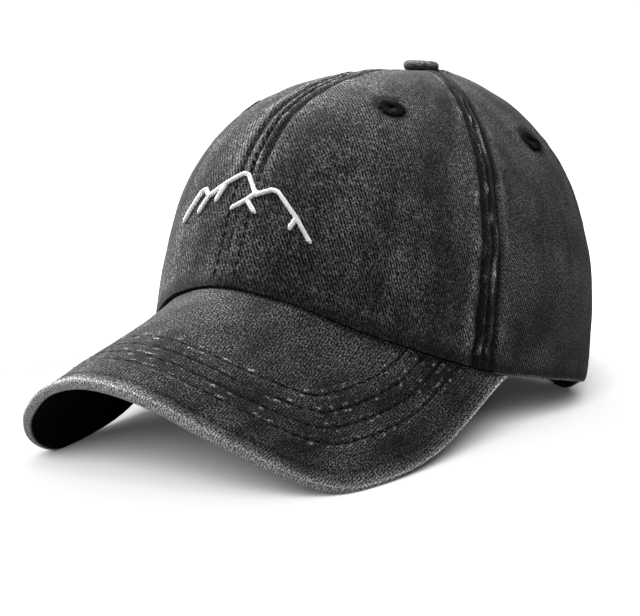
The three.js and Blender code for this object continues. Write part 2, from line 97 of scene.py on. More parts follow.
BUCKLE_WIDTH = 19.0
BUCKLE_WIRE = 1.9
BUCKLE_OFFSET = 25.0
BUCKLE_CLEARANCE = 1.4
BUTTON_RADIUS = 7.0
BUTTON_HEIGHT = 4.6
BUTTON_LEAN = 4.5
EYELET_RADIUS = 5.2
EYELET_HOLE = 1.6
EYELET_CUT = 3.2
RIDGE_HALF_WIDTH = 28.0
RIDGE_BASE = 22.0
RIDGE_HEIGHT = 20.5
THREAD_WIDTH = 1.65
THREAD_RAISE = 0.75

# Profile of the button, as shares of its height and radius
BUTTON_LEVELS = (0.0, 0.16, 0.34, 0.56, 0.78, 0.92, 0.98, 1.0, 1.0)
BUTTON_WIDTHS = (0.84, 0.96, 1.03, 1.06, 1.02, 0.9, 0.7, 0.4, 0.02)

# Roundness of the crown and height of its rim at angles from the front
FORM_ANGLES = (0, 30, 60, 110, 180)
FORM_PLAN = (3.3, 2.8, 1.9, 1.6, 1.9)
FORM_PROFILE = (3.6, 3.05, 2.4, 2.7, 2.2)
RIM_ANGLES = (0, 17, 35, 70, 110, 126, 140, 180)
RIM_LIFTS = (1, 0.93, 0.746, 0.403, 0.172, 0.105, 0, 0)

# Outer edge of the brim from its middle to its end
EDGE_SHARES = (0, 0.1, 0.2, 0.3, 0.4, 0.6, 0.8, 1)
EDGE_FLARES = (0, 0.53, 0.946, 1.08, 1, 0.614, 0.239, 0)
EDGE_REACHES = (1, 0.96, 0.866, 0.764, 0.675, 0.511, 0.223, 0)
EDGE_LIFTS = (0.603, 0.54, 0.382, 0.235, 0.11, 0, 0.206, 1)

# Embroidered eyelets on the wearer's left, as (name, angle, rise)
EYELETS = (("front", 31.3, 0.54), ("side", 90.0, 0.49), ("back", 138.0, 0.54))

# Mountain ridge strokes as (across, up) shares of its half width and height
RIDGE_STROKES = (
    ((-1, 0.3), (-0.75, 0.76), (-0.68, 0.78), (-0.58, 0.62), (-0.1, 1), (-0.02, 0.98), (0.2, 0.6)),
    ((0.2, 0.6), (0.41, 0.73), (0.5, 0.71), (0.8, 0.34), (1, 0.02)),
    ((-0.6, 0.58), (-0.7, 0.36)),
    ((-0.33, 0.79), (-0.42, 0.52)),
    ((0.2, 0.64), (0.08, 0.5), (-0.12, 0.34)),
    ((0.08, 0.5), (0.24, 0.28)),
    ((0.8, 0.34), (0.74, 0.14)),
)

# Sewing: sizes of stitches, and distances of rows and folds from their seam, hem or edge
STITCH_LENGTH = 2.7
STITCH_PITCH = 3.5
STITCH_RADIUS = 0.3
SEAM_CREST = 1.6
SEAM_ROW = 4.2
SEAM_PUCKER = 7.0
HEM_ROW = 8.0
BRIM_ROWS = (15.5, 21.3, 27.1, 33.2)
STRAP_ROW = 2.2
SWEATBAND_ROW = 2.5
SUNK_ROW_WIDTH = 0.6
SEAM_ROW_END = 9.0
BRIM_STITCH_LENGTH = 3.1
BRIM_STITCH_PITCH = 4.0
BRIM_STITCH_RADIUS = 0.31
SATIN_PITCH = 0.42
SATIN_STEP = 0.085

# Wear of the brim's edge from its top to its underside, raised towards the underside as painted light where
# the edge turns away from the lamps; the brim's section has a point for each
ROLL_WEAR_AND_LIGHT = (1.1, 1.25, 1.35, 1.4, 1.45, 1.6, 1.8)
ROLL_POINTS = len(ROLL_WEAR_AND_LIGHT)
UNDER_POINTS = 45

# Third coordinate in the cloth's pattern, so that no piece repeats another
WEAVE_BUTTON = 33.0
WEAVE_BRIM_UNDER = 40
WEAVE_BINDING = 70.0
WEAVE_BAND = 90.0

# Painted shade on the inner face of the panels and bindings
INNER_SHADE = 0.6

# World light by direction, from -1 at the left of the picture to 1: start, end, strength at both
RIGHT_LIGHT = (0.41, 0.63, 1.2, 0.03)
LEFT_LIGHT = (-0.75, -0.1, 0.4, 1.0)

# Floor in metres: where its glow is centred, starts and is full; its grey as light and as seen
FLOOR_HALF = 6.0
GLOW_CENTRE = (-0.04, -0.06, 0)
GLOW_START = 0.17
GLOW_FULL = 0.4
FLOOR_LIT = 0.09
FLOOR_SEEN = 0.35

# Lights: azimuth, elevation, distance, size, power, and whether they light all but the floor or it alone
LIGHTS = (
    ("key", -98, 38, 1.6, 1.1, 96, "EXCLUDE"),
    ("top", 150, 70, 1.4, 1.4, 14, "EXCLUDE"),
    ("sweep", 21, 24, 3.0, 1.5, 330, "INCLUDE"),
    ("sweep_fill", 41, 34, 3.0, 1.5, 134, "INCLUDE"),
)
AIM_HEIGHT = 0.06

button_low, button_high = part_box("button")
CAP_SHIFT = 0.5 * (button_low[1] + button_high[1]) / MM


def smooth_table(knots, values, at, even=True):
    """Smooth curve through a short table; an even one is level at its first row."""
    knots = np.asarray(knots, float)
    values = np.asarray(values, float)
    widths = np.diff(knots)
    slopes = np.diff(values) / widths
    tangents = np.empty_like(values)
    blend = (slopes[:-1] * widths[1:] + slopes[1:] * widths[:-1]) / (widths[1:] + widths[:-1])
    tangents[1:-1] = np.where(slopes[:-1] * slopes[1:] == 0, 0, blend)
    tangents[0] = 0 if even else slopes[0]
    tangents[-1] = slopes[-1]
    i = np.clip(np.searchsorted(knots, at, side="right") - 1, 0, len(knots) - 2)
    s = (at - knots[i]) / widths[i]
    early = (1 + 2 * s) * (1 - s) ** 2
    leaving = s * (1 - s) ** 2 * widths[i]
    arriving = s * s * (s - 1) * widths[i]
    between = values[i] * early + values[i + 1] * (1 - early)
    return between + tangents[i] * leaving + tangents[i + 1] * arriving


def folded(angle):
    """Angle from the front, the same on both sides."""
    return np.abs((np.asarray(angle, float) + 540) % 360 - 180)


def rim_height(angle):
    return FRONT_RIM_LIFT * smooth_table(RIM_ANGLES, RIM_LIFTS, folded(angle))


def crown(angle, rise):
    """Outer face of the crown in millimetres: rise is 0 at the rim and 1 under the button."""
    angle, rise = np.broadcast_arrays(np.asarray(angle, float), np.asarray(rise, float))
    turn = np.minimum(folded(angle), 179.999)
    plan = smooth_table(FORM_ANGLES, FORM_PLAN, turn)
    profile = smooth_table(FORM_ANGLES, FORM_PROFILE, turn)
    quarter = np.radians(90 * np.clip(rise, 0, 1))
    spread = np.maximum(np.cos(quarter), 0) ** (2 / plan)
    height = np.sin(quarter) ** (2 / profile)
    seams = np.array([0, FRONT_SEAM, BACK_SEAM, 180])
    panel = np.searchsorted(seams, turn, side="right") - 1
    share = (turn - seams[panel]) / (seams[panel + 1] - seams[panel])
    puff = PANEL_PUFF * np.sin(np.pi * share) * np.sin(np.pi * np.clip(rise, 0, 1) ** 0.8)
    swell = 1 + puff / CROWN_FRONT_DEPTH
    depth = np.where(turn < 90, CROWN_FRONT_DEPTH, CROWN_BACK_DEPTH)
    rim = rim_height(angle)
    x = CROWN_HALF_WIDTH * np.sin(np.radians(angle)) * spread * swell
    y = -depth * np.cos(np.radians(angle)) * spread * swell - RIM_SHIFT * (1 - height) + CAP_SHIFT
    z = rim + (CROWN_TOP - rim) * height + 0.5 * puff * height
    return xyz(x, y, z)


def unit(vectors):
    return vectors / np.maximum(np.linalg.norm(vectors, axis=-1, keepdims=True), 1e-9)


def xyz(*parts):
    """Points or other triples from three arrays or numbers."""
    return np.stack(np.broadcast_arrays(*parts), -1)


def ramp(value, start, length):
    """Rises from 0 to 1 over a length, and stays level before and after."""
    return np.clip((value - start) / length, 0, 1)


def travelled(points):
    """Distance along each row of points."""
    steps = np.linalg.norm(np.diff(points, axis=-2), axis=-1)
    return np.concatenate([np.zeros(steps.shape[:-1] + (1,)), np.cumsum(steps, -1)], -1)


def crown_normal(angle, rise):
    step = 0.002
    low = np.clip(rise, step, 1 - 2 * step)
    along = crown(angle + 0.2, low) - crown(angle - 0.2, low)
    upward = crown(angle, low + step) - crown(angle, low - step)
    return unit(np.cross(along, upward))


def per_degree(angle, rise):
    """Millimetres along the crown in one degree."""
    return np.maximum(np.linalg.norm(crown(angle + 0.5, rise) - crown(angle - 0.5, rise), axis=-1), 0.02)


def rise_at_radius(angle, radius):
    turn = folded(angle)
    plan = smooth_table(FORM_ANGLES, FORM_PLAN, turn)
    depth = np.where(turn < 90, CROWN_FRONT_DEPTH, CROWN_BACK_DEPTH)
    full = np.hypot(CROWN_HALF_WIDTH * np.sin(np.radians(angle)), depth * np.cos(np.radians(angle)))
    return np.degrees(np.arccos((radius / full) ** (plan / 2))) / 90


def rise_at_height(angle, height):
    profile = smooth_table(FORM_ANGLES, FORM_PROFILE, folded(angle))
    rim = rim_height(angle)
    share = np.maximum(height - rim, 0) / (CROWN_TOP - rim)
    return np.degrees(np.arcsin(share ** (profile / 2))) / 90


def row_rise(share):
    """Rise of a row of points; rows lie closer together at the rim and under the button."""
    return share * share * (3 - 2 * share)


LATTICE_SIZE = 32
LATTICE = np.random.default_rng(7).random((LATTICE_SIZE,) * 3) * 2 - 1


def noise(points, scale, shift=0.0):
    """Smooth noise between -1 and 1 at points, with lumps of about the given size."""
    q = points / scale + shift
    i = np.floor(q).astype(int)
    f = q - i
    f = f * f * (3 - 2 * f)
    total = 0
    for corner in np.ndindex(2, 2, 2):
        near = np.abs(1 - np.array(corner) - f)
        at = (i + corner) & (LATTICE_SIZE - 1)
        total = total + near.prod(-1) * LATTICE[at[..., 0], at[..., 1], at[..., 2]]
    return total


def bell(distance, width):
    """Smooth bump, 1 at distance 0 and near 0 beyond twice the width."""
    return np.exp(-(distance / width) ** 2)


def slack(points):
    """Soft dents that the washed cloth keeps; every piece on the crown follows them."""
    return 0.75 * noise(points, 38, 3.1) + 0.35 * noise(points, 17, 8.7)


def seam_distances(angle, rise):
    """Signed distances in millimetres to the front seam, the two side seams and the two back seams."""
    width = per_degree(angle, rise)
    turn = (np.asarray(angle, float) + 540) % 360 - 180
    return [(turn - seam) * width for seam in (0, FRONT_SEAM, -FRONT_SEAM, BACK_SEAM, -BACK_SEAM)]


def seam_relief(k, signed, along, level):
    """Height of the folds beside seam k, how worn, and the painted shade in and beside its groove; all but
    the front seam, 0, are crushed.
    """
    crushed = 0.0 if k == 0 else 1.0
    signed = signed + 0.8 * crushed * noise(along, 1.6, 6.0 * k)
    d = np.abs(signed)
    hand = 2 * np.sign(signed)[..., None]
    pucker = noise(along, 1.1, 5.0 * k + hand)
    crinkle = noise(along, 0.5, 9.0 * k + hand)
    streak = noise(xyz(level * 0.2, signed * 0.75, 3.0 * k), 1.0, 4.0)
    crest = bell(d - SEAM_CREST, 0.85)
    height = (
        0.7 * bell(d, 6.5) - 1.15 * bell(d, 0.6) + (0.4 + 0.3 * crushed * crinkle) * crest
        - 0.75 * bell(d - SEAM_ROW, 0.95) + (0.4 + 0.5 * pucker) * bell(d - SEAM_PUCKER, 1.9)
        + (0.22 * crinkle + 0.3 * crushed * streak) * bell(d - 2.6, 2.6)
    )
    wear = (0.8 - 0.45 * crushed) * crest * np.clip(0.5 + 0.8 * crinkle + 0.4 * pucker, 0, 1.4)
    wear += crushed * 0.8 * bell(d - 1.0, 2.8) * np.clip(2.4 * streak - 0.8, 0, 1)
    wear += 0.5 * bell(d - SEAM_PUCKER - 0.8, 2.0) * np.clip(0.6 + 0.9 * pucker, 0, 1.5)
    # Painted shade in the seam's groove and its stitch row, and in a broad streaky band beside each crushed
    # seam.
    dark = bell(d, 0.8) + 0.9 * bell(d - SEAM_ROW + 0.2, 1.5)
    dark += crushed * 0.75 * bell(d, 5.4) * np.clip(1 - 1.6 * streak, 0, 1)
    return height, wear, dark


def crown_relief(angle, rise, points):
    """Height of folds, seams and hem over the smooth crown, how worn the cloth is there, and its painted
    shade in the seams and above the hem.
    """
    height = slack(points) + 0.16 * noise(points, 6, 1.7)
    wear = np.zeros(points.shape[:-1])
    dark = np.zeros(points.shape[:-1])
    fade = 1 - ramp(rise, 0.9, 0.1)
    front_fade = fade * (0.12 + 0.88 * ramp(rise, 0.15, 0.12))
    along = points[..., ::-1] * (0.2, 0.2, 0.05)
    for k, signed in enumerate(seam_distances(angle, rise)):
        strength = fade if k else front_fade
        folds, worn, seam_shade = seam_relief(k, signed, along, points[..., 2])
        height = height + strength * folds
        wear = wear + strength * worn
        dark = dark + strength * seam_shade
    above_rim = points[..., 2] - rim_height(angle)
    hem = np.clip(above_rim / HEM_ROW, 0, 2)
    height = height + 0.35 * bell(hem, 0.8) - 0.15 * bell(above_rim - HEM_ROW, 0.8)
    behind = ramp(folded(angle), 68, 8)
    hem_line = behind * bell(above_rim, 0.9)
    wear = wear + 0.9 * hem_line
    # Painted shade in a band just above the rim, left off the worn hem edge behind.
    dark = (dark + 0.75 * bell(above_rim - 1.2, 3.2)) * (1 - hem_line)
    return height, np.clip(wear, 0, 1.5), np.clip(dark, 0, 1)


def on_crown(angle, rise, height):
    """Point at a height over the dented crown."""
    points = crown(angle, rise)
    return points + crown_normal(angle, rise) * (height + slack(points))[..., None]


def directions(angle, rise):
    """Directions across, up and out of the crown at one place, as rows."""
    outward = crown_normal(angle, rise)
    upward = unit(np.array([0, 0, 1.0]) - outward * outward[2])
    return np.stack([np.cross(upward, outward), upward, outward])


def make_object(name, vertices, faces, material, attributes=None):
    """Mesh object from points in millimetres, riding on the cap; nothing goes below the floor."""
    mesh = bpy.data.meshes.new(name)
    points = np.array(vertices, float) * MM
    points[:, 2] = np.maximum(points[:, 2], 0)
    mesh.from_pydata(points.tolist(), [], np.asarray(faces).tolist())
    for key, values in (attributes or {}).items():
        values = np.asarray(values, np.float32)
        kind, field = ("FLOAT", "value") if values.ndim == 1 else ("FLOAT_VECTOR", "vector")
        layer = mesh.attributes.new(key, kind, "POINT")
        layer.data.foreach_set(field, values.ravel())
    mesh.update()
    mesh.shade_smooth()
    mesh.materials.append(material)
    piece = bpy.data.objects.new(name, mesh)
    bpy.context.collection.objects.link(piece)
    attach(piece, BODY)
    return piece


def dress(piece, slot, *nodes):
    """Hides the imported nodes that a piece stands for; slot is not used."""
    if nodes:
        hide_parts(*nodes)


def shell(outer, inner, keep=None):
    """Closed cloth between two grids of points; cells that aren't kept are left open and walled.

    The third result tells which points of both grids are in use."""
    n, m = outer.shape[:2]
    if keep is None:
        keep = np.ones((n - 1, m - 1), bool)
    count = n * m
    index = np.arange(count).reshape(n, m)
    top = np.stack([index[:-1, :-1], index[1:, :-1], index[1:, 1:], index[:-1, 1:]], -1)[keep]
    faces = [top, top[:, ::-1] + count]
    cells = np.pad(keep, 1)
    for p, q, one, other in (
        (index[1:, :], index[:-1, :], cells[1:-1, 1:], cells[1:-1, :-1]),
        (index[:, :-1], index[:, 1:], cells[1:, 1:-1], cells[:-1, 1:-1]),
    ):
        wall = np.stack([p, q, q + count, p + count], -1)
        faces += [wall[one & ~other], wall[..., ::-1][other & ~one]]
    faces = np.concatenate(faces)
    vertices = np.concatenate([outer.reshape(-1, 3), inner.reshape(-1, 3)])
    used = np.unique(faces)
    renumber = np.zeros(len(vertices), int)
    renumber[used] = np.arange(len(used))
    return vertices[used], renumber[faces], used


def two_faces(used, weave, wear, inner_wear, shade, inner_shade):
    """Mesh attributes for the points in use on the outer and inner face of a shell."""
    return {
        "weave": np.concatenate([weave.reshape(-1, 3)] * 2)[used],
        "wear": np.concatenate([wear.ravel(), inner_wear.ravel()])[used],
        "shade": np.concatenate([shade.ravel(), inner_shade.ravel()])[used],
    }


def tube_faces(rings, size, closed=False):
    """Faces of a row of loops; a closed row joins its last loop to its first, an open one is capped."""
    index = np.arange(rings * size).reshape(rings, size)
    rows = np.concatenate([index, index[:1]]) if closed else index
    turned = np.roll(rows, -1, 1)
    quads = np.stack([rows[:-1], rows[1:], turned[1:], turned[:-1]], -1).reshape(-1, 4)
    if closed:
        return quads
    half = size // 2
    k = np.arange(half - 1)
    start = np.stack([k, k + 1, size - 2 - k, size - 1 - k], -1)
    end = start[:, ::-1] + (rings - 1) * size
    return np.concatenate([quads, start, end])


def merge(parts):
    """Vertices and faces of several meshes as one."""
    vertices, faces, count = [], [], 0
    for v, f in parts:
        vertices.append(v)
        faces.append(f + count)
        count += len(v)
    return np.concatenate(vertices), np.concatenate(faces)


# Materials

def node(tree, kind, inputs=None, **settings):
    """New node; each input is linked to a socket or set to a value."""
    made = tree.nodes.new(kind)
    for key, value in settings.items():
        setattr(made, key, value)
    for key, value in (inputs or {}).items():
        if isinstance(value, bpy.types.NodeSocket):
            tree.links.new(value, made.inputs[key])
        else:
            made.inputs[key].default_value = value
    return made


def maths(tree, operation, *terms):
    """Result of an operation over two or more terms, from left to right."""
    result = terms[0]
    for term in terms[1:]:
        result = node(tree, "ShaderNodeMath", {0: result, 1: term}, operation=operation).outputs[0]
    return result


def times(tree, *terms):
    return maths(tree, "MULTIPLY", *terms)


def plus(tree, *terms):
    return maths(tree, "ADD", *terms)


def spread_map(tree, value, low, high, out_low=0.0, out_high=1.0):
    inputs = {0: value, 1: low, 2: high, 3: out_low, 4: out_high}
    return node(tree, "ShaderNodeMapRange", inputs, interpolation_type="SMOOTHSTEP").outputs[0]


def mix_colour(tree, factor, a, b):
    return node(tree, "ShaderNodeMix", {0: factor, 6: a, 7: b}, data_type="RGBA").outputs[2]


def grey(value, tint=0.0):
    return (value * (1 - tint), value, value * (1 + tint), 1.0)


def new_material(name, inputs):
    """Material with some inputs of its shader set."""
    material = bpy.data.materials.new(name)
    material.use_nodes = True
    shader = material.node_tree.nodes["Principled BSDF"]
    for key, value in inputs.items():
        shader.inputs[key].default_value = value
    return material, material.node_tree, shader


def roughen(tree, shader, height, strength, distance):
    """Bump from a height, over a distance in millimetres."""
    bump = node(tree, "ShaderNodeBump", {"Strength": strength, "Distance": distance * MM, "Height": height})
    tree.links.new(bump.outputs[0], shader.inputs["Normal"])


def noise_texture(tree, vector, scale, detail=0.0, roughness=0.5):
    inputs = {"Vector": vector, "Scale": scale, "Detail": detail, "Roughness": roughness}
    return node(tree, "ShaderNodeTexNoise", inputs).outputs["Fac"]


def scaled(tree, vector, x, y, turn=0.0):
    inputs = {"Vector": vector, "Scale": (x, y, 1.0), "Rotation": (0, 0, math.radians(turn))}
    return node(tree, "ShaderNodeMapping", inputs).outputs[0]


def attribute(tree, name, output="Fac"):
    return node(tree, "ShaderNodeAttribute", attribute_name=name).outputs[output]


def leaning_ribs(tree, vector, pitch):
    """Slightly wavering stripes, one to a pitch."""
    inputs = {"Vector": vector, "Scale": math.pi / (10 * pitch), "Distortion": 3.0, "Detail": 2.0}
    inputs["Detail Scale"] = 3.0
    return node(tree, "ShaderNodeTexWave", inputs, bands_direction="X").outputs["Fac"]


def twill(name, dark, light, base=0.3, pitch=1.1, ribs=0.18, lean=-18, relief=0.25, sheen=0.03, salt=0.22):
    """Washed twill: leaning ribs broken into specks of worn thread, paler where the cloth is worn bare,
    darker where painted shade is set.

    base and salt are the strengths of worn thread and of single pale grains; relief is the bump's
    depth in millimetres."""
    finish = {"Roughness": 0.95, "Sheen Weight": sheen, "Sheen Roughness": 0.6, "Specular IOR Level": 0.05}
    material, tree, shader = new_material(name, finish)
    weave = attribute(tree, "weave", "Vector")
    wear = attribute(tree, "wear")
    shade = attribute(tree, "shade")
    turned = scaled(tree, weave, 1.0, 1.0, lean)
    rib = leaning_ribs(tree, turned, pitch)
    specks = noise_texture(tree, scaled(tree, turned, 2.2, 1.15), 1.0, 2.0, 0.6)
    fibre = noise_texture(tree, weave, 3.2, 1.0)
    weighed = [times(tree, *pair) for pair in ((rib, ribs), (specks, 1.55 - ribs), (fibre, 0.25))]
    grain = plus(tree, *weighed)
    worn_thread = spread_map(tree, grain, 0.84, 1.12)
    grains = spread_map(tree, noise_texture(tree, weave, 1.65), 0.58, 0.7)
    patches = spread_map(tree, noise_texture(tree, weave, 0.045, 5.0, 0.6), 0.34, 0.66, -0.07, 0.08)
    streaks = noise_texture(tree, scaled(tree, weave, 0.11, 0.018), 1.0, 3.0)
    streaks = spread_map(tree, streaks, 0.35, 0.68, -0.04, 0.06)
    fade = plus(tree, patches, base, streaks, times(tree, wear, 0.5))
    salted = times(tree, fade, salt / base, grains)
    amount = plus(tree, times(tree, worn_thread, fade), salted)
    # Painted shade: the shade attribute darkens the colour.
    lit = maths(tree, "SUBTRACT", 1.0, times(tree, shade, 0.93))
    bare = times(tree, wear, wear, 0.12)
    amount = plus(tree, times(tree, amount, lit), bare)
    amount = maths(tree, "MINIMUM", maths(tree, "MAXIMUM", amount, 0.0), 1.0)
    pale = mix_colour(tree, spread_map(tree, wear, 0.8, 1.5), light, grey(0.72))
    tree.links.new(mix_colour(tree, amount, dark, pale), shader.inputs["Base Color"])
    roughen(tree, shader, grain, 0.6, relief)
    return material


def thread(name, dark, light, roughness=0.75):
    """Spun thread: fine fibres along it."""
    material, tree, shader = new_material(name, {"Roughness": roughness, "Specular IOR Level": 0.08})
    place = node(tree, "ShaderNodeTexCoord").outputs["Object"]
    fibre = noise_texture(tree, place, 900.0, 2.0)
    colour = mix_colour(tree, spread_map(tree, fibre, 0.3, 0.7), dark, light)
    tree.links.new(colour, shader.inputs["Base Color"])
    roughen(tree, shader, fibre, 0.4, 0.1)
    return material


def aged_brass(name):
    """Brass with dark stains, rougher where it is stained."""
    material, tree, shader = new_material(name, {"Metallic": 1.0})
    place = node(tree, "ShaderNodeTexCoord").outputs["Object"]
    spots = noise_texture(tree, place, 260.0, 5.0)
    stain = spread_map(tree, spots, 0.4, 0.65)
    colour = mix_colour(tree, stain, (0.36, 0.29, 0.18, 1), (0.12, 0.1, 0.07, 1))
    tree.links.new(colour, shader.inputs["Base Color"])
    tree.links.new(spread_map(tree, spots, 0.35, 0.7, 0.28, 0.55), shader.inputs["Roughness"])
    roughen(tree, shader, spots, 0.3, 0.05)
    return material


crown_cloth = twill(
    "crown_twill", grey(0.004, 0.02), grey(0.36), base=0.19, ribs=0.4, lean=-28, sheen=0.035, salt=0.24
)
brim_cloth = twill("brim_twill", grey(0.0035, 0.02), grey(0.38), base=0.145, ribs=0.2, salt=0.24)
tape_cloth = twill("binding_twill", grey(0.004, 0.02), grey(0.3), base=0.24, pitch=0.9, salt=0.06)
# Underside of the brim: a near-black copy of the twill, painted shade.
under_cloth_painted_shade = twill("under_twill_painted_shade", grey(0.001), grey(0.004), relief=0.15, sheen=0.0, salt=0.0)
band_cloth = twill("sweatband_cotton", grey(0.003), grey(0.02), pitch=0.8, relief=0.12, salt=0.0)
dark_thread = thread("dark_thread", grey(0.001), grey(0.005))
white_thread = thread("white_thread", grey(0.76), grey(0.92), roughness=0.55)
metal = aged_brass("buckle_metal")


# Crown panels

def eyelet_places():
    for side, hand in ((1, "left"), (-1, "right")):
        for name, angle, rise in EYELETS:
            yield f"{name}_{hand}", side * angle, rise


def teardrop(grow, count=160):
    """Outline of the slot grown outwards, from its tip round its wearer's left side, as (x, z)."""
    half = SLOT_HALF_WIDTH + grow
    top = SLOT_TOP + 0.55 * grow
    tip = SLOT_TIP - grow
    fall = SLOT_WIDEST - tip
    bend = (half, SLOT_WIDEST - 0.62 * fall)
    controls = np.array([(0, tip), (0.7 * half, tip + 0.24 * fall), bend, (half, SLOT_WIDEST)])
    t = np.linspace(0, 1, count // 4 + 1)[:-1, None]
    side = ((1 - t) ** 3 * controls[0] + 3 * (1 - t) ** 2 * t * controls[1]
            + 3 * (1 - t) * t * t * controls[2] + t ** 3 * controls[3])
    turn = np.linspace(0, np.pi, count // 2 + 1)
    over = np.stack([half * np.cos(turn), SLOT_WIDEST + (top - SLOT_WIDEST) * np.sin(turn)], -1)
    other = side[1:][::-1] * (-1, 1)
    return np.concatenate([side, over, other])


def arch(grow, count=150):
    """Outline of the half-moon opening grown outwards, from hem to hem, as (x, z)."""
    half = ARCH_HALF_WIDTH + grow
    rise = np.linspace(0.3, ARCH_SPRING, 14)[:-1]
    leg = np.stack([np.full_like(rise, half), rise], -1)
    turn = np.linspace(0, np.pi, count)
    over = np.stack([half * np.cos(turn), ARCH_SPRING + (ARCH_TOP + grow - ARCH_SPRING) * np.sin(turn)], -1)
    return np.concatenate([leg, over, leg[::-1] * (-1, 1)])


def inside(outline, x, z):
    """Which points lie inside an outline."""
    odd = np.zeros(x.shape, bool)
    previous = np.roll(outline, 1, 0)
    for (x1, z1), (x0, z0) in zip(outline, previous):
        crosses = (z1 > z) != (z0 > z)
        reach = x0 + (z - z0) * (x1 - x0) / (z1 - z0 if z1 != z0 else 1e-9)
        odd ^= crosses & (x < reach)
    return odd


def panel_angles(start, end, count=92):
    """Angles across a panel, closer together beside its seams."""
    share = np.linspace(0, 1, 800)
    span = abs(end - start) * 1.35
    gap = np.minimum(share, 1 - share) * span
    density = 1 + 2.2 * bell(gap, 8.0)
    total = np.concatenate([[0], np.cumsum(0.5 * (density[1:] + density[:-1]))])
    return start + (end - start) * np.interp(np.linspace(0, total[-1], count), total, share)


def around_eyelets(points, height, dark):
    """Cloth drawn in round the eyelets, with painted shade in a ragged ring round each."""
    for _, at_angle, at_rise in eyelet_places():
        offset = points - crown(at_angle, at_rise)
        away = np.linalg.norm(offset, axis=-1)
        rays = noise(unit(offset) * 2.4, 1.0, at_rise * 9)
        height = height + bell(away - EYELET_RADIUS, 1.6) * (0.3 * rays - 0.3)
        height = height + 0.3 * rays * bell(away - 8.0, 2.5)
        # Painted shade: a ragged dark ring round each eyelet's hole.
        dark = dark + 0.95 * bell(np.clip(away - EYELET_RADIUS - 0.5 - 1.2 * rays, 0, None), 1.5)
    return height, np.clip(dark, 0, 1)


def kept_cells(points):
    """Which cells of a panel's grid stay, outside both openings and the eyelets' holes."""
    centre = 0.25 * (points[1:, 1:] + points[:-1, 1:] + points[1:, :-1] + points[:-1, :-1])
    x, y, z = centre[..., 0], centre[..., 1], centre[..., 2]
    open_cells = inside(teardrop(OPENING_GROWTH), x, z) | inside(arch(OPENING_GROWTH), x, z)
    open_cells |= (np.abs(x) < ARCH_HALF_WIDTH + OPENING_GROWTH) & (z < ARCH_SPRING)
    keep = ~(open_cells & (y > CAP_SHIFT))
    for _, at_angle, at_rise in eyelet_places():
        keep &= np.linalg.norm(centre - crown(at_angle, at_rise), axis=-1) > EYELET_CUT
    return keep


def crown_panel(name, start, end, rows=176):
    """One panel of the crown, from the rim to the button."""
    angles = panel_angles(start, end)
    top = rise_at_radius(angles, PANEL_TOP_RADIUS)
    rise = top[:, None] * row_rise(np.linspace(0, 1, rows))[None, :]
    angle = np.repeat(angles[:, None], rows, 1)
    points = crown(angle, rise)
    normals = crown_normal(angle, rise)
    normals[:, 0, 2] = 0
    normals[:, 0] = unit(normals[:, 0])
    height, wear, dark = crown_relief(angle, rise, points)
    height, dark = around_eyelets(points, height, dark)
    outer = points + normals * height[..., None]
    inner = points + normals * (slack(points) - CLOTH)[..., None]
    outer[:, 0, 2] = inner[:, 0, 2] = points[:, 0, 2]
    vertices, faces, used = shell(outer, inner, kept_cells(points))
    middle = 0.5 * (start + end)
    across = (angle - middle) * per_degree(angle, np.clip(rise, 0.02, 0.9))
    weave = xyz(across, travelled(points), middle)
    # The inner face is evenly darkened by painted shade.
    attributes = two_faces(used, weave, wear, 0 * wear, dark, 0 * dark + INNER_SHADE)
    piece = make_object(name, vertices, faces, crown_cloth, attributes)
    dress(piece, "crown_twill", name.replace("cloth_", ""))


def crown_panels():
    bounds = (0, FRONT_SEAM, BACK_SEAM, 180)
    for side, hand in ((1, "left"), (-1, "right")):
        for k, (name, _, _) in enumerate(EYELETS):
            start, end = sorted((side * bounds[k], side * bounds[k + 1]))
            crown_panel(f"cloth_panel_{name}_{hand}", start, end)


# Sewing

def stitch_template(sides=6):
    """One stitch along X, of unit length, as rings of (along, across, up) in its own radius."""
    shares = np.array([-0.5, -0.42, -0.2, 0.2, 0.42, 0.5])
    widths = np.array([0.35, 0.85, 1.0, 1.0, 0.85, 0.35])
    lifts = np.array([-1.0, -0.1, 0.45, 0.45, -0.1, -1.0])
    turn = np.linspace(0, 2 * np.pi, sides, endpoint=False)
    rings = []
    for share, width, lift in zip(shares, widths, lifts):
        rings.append(xyz(share, width * np.cos(turn), lift + width * np.sin(turn)))
    return np.concatenate(rings), tube_faces(len(shares), sides)


def along_line(travel, values, at):
    """Points or normals at distances along a line."""
    return np.stack([np.interp(at, travel, values[:, k]) for k in range(3)], -1)


def sew(rows, length=STITCH_LENGTH, pitch=STITCH_PITCH, radius=STITCH_RADIUS, loose=0.4):
    """Vertices and faces of stitches along rows of (points, normals), each a little out of place."""
    template, template_faces = stitch_template()
    rng = np.random.default_rng(11)
    parts = []
    for points, normals in rows:
        travel = travelled(points)
        number = int(travel[-1] // pitch)
        centres = (np.arange(number) + 0.5) * travel[-1] / number
        centres = centres + loose * rng.uniform(-0.3, 0.3, number)
        ahead = along_line(travel, points, centres + 0.5) - along_line(travel, points, centres - 0.5)
        normal = unit(along_line(travel, normals, centres))
        along = unit(ahead - normal * np.sum(ahead * normal, -1, keepdims=True))
        across = np.cross(normal, along)
        along = along + across * (loose * rng.uniform(-0.16, 0.16, number))[:, None]
        middle = along_line(travel, points, centres)
        middle = middle + across * (loose * rng.uniform(-0.25, 0.25, number))[:, None]
        middle = middle - normal * (loose * rng.uniform(0, 0.3, number))[:, None]
        lengths = length * (1 + loose * rng.uniform(-0.3, 0.15, number))
        placed = (middle[:, None] + along[:, None] * template[None, :, :1] * lengths[:, None, None]
                  + across[:, None] * template[None, :, 1:2] * radius
                  + normal[:, None] * template[None, :, 2:] * radius)
        offsets = np.arange(number)[:, None, None] * len(template)
        parts.append((placed.reshape(-1, 3), (template_faces[None] + offsets).reshape(-1, 4)))
    return merge(parts)


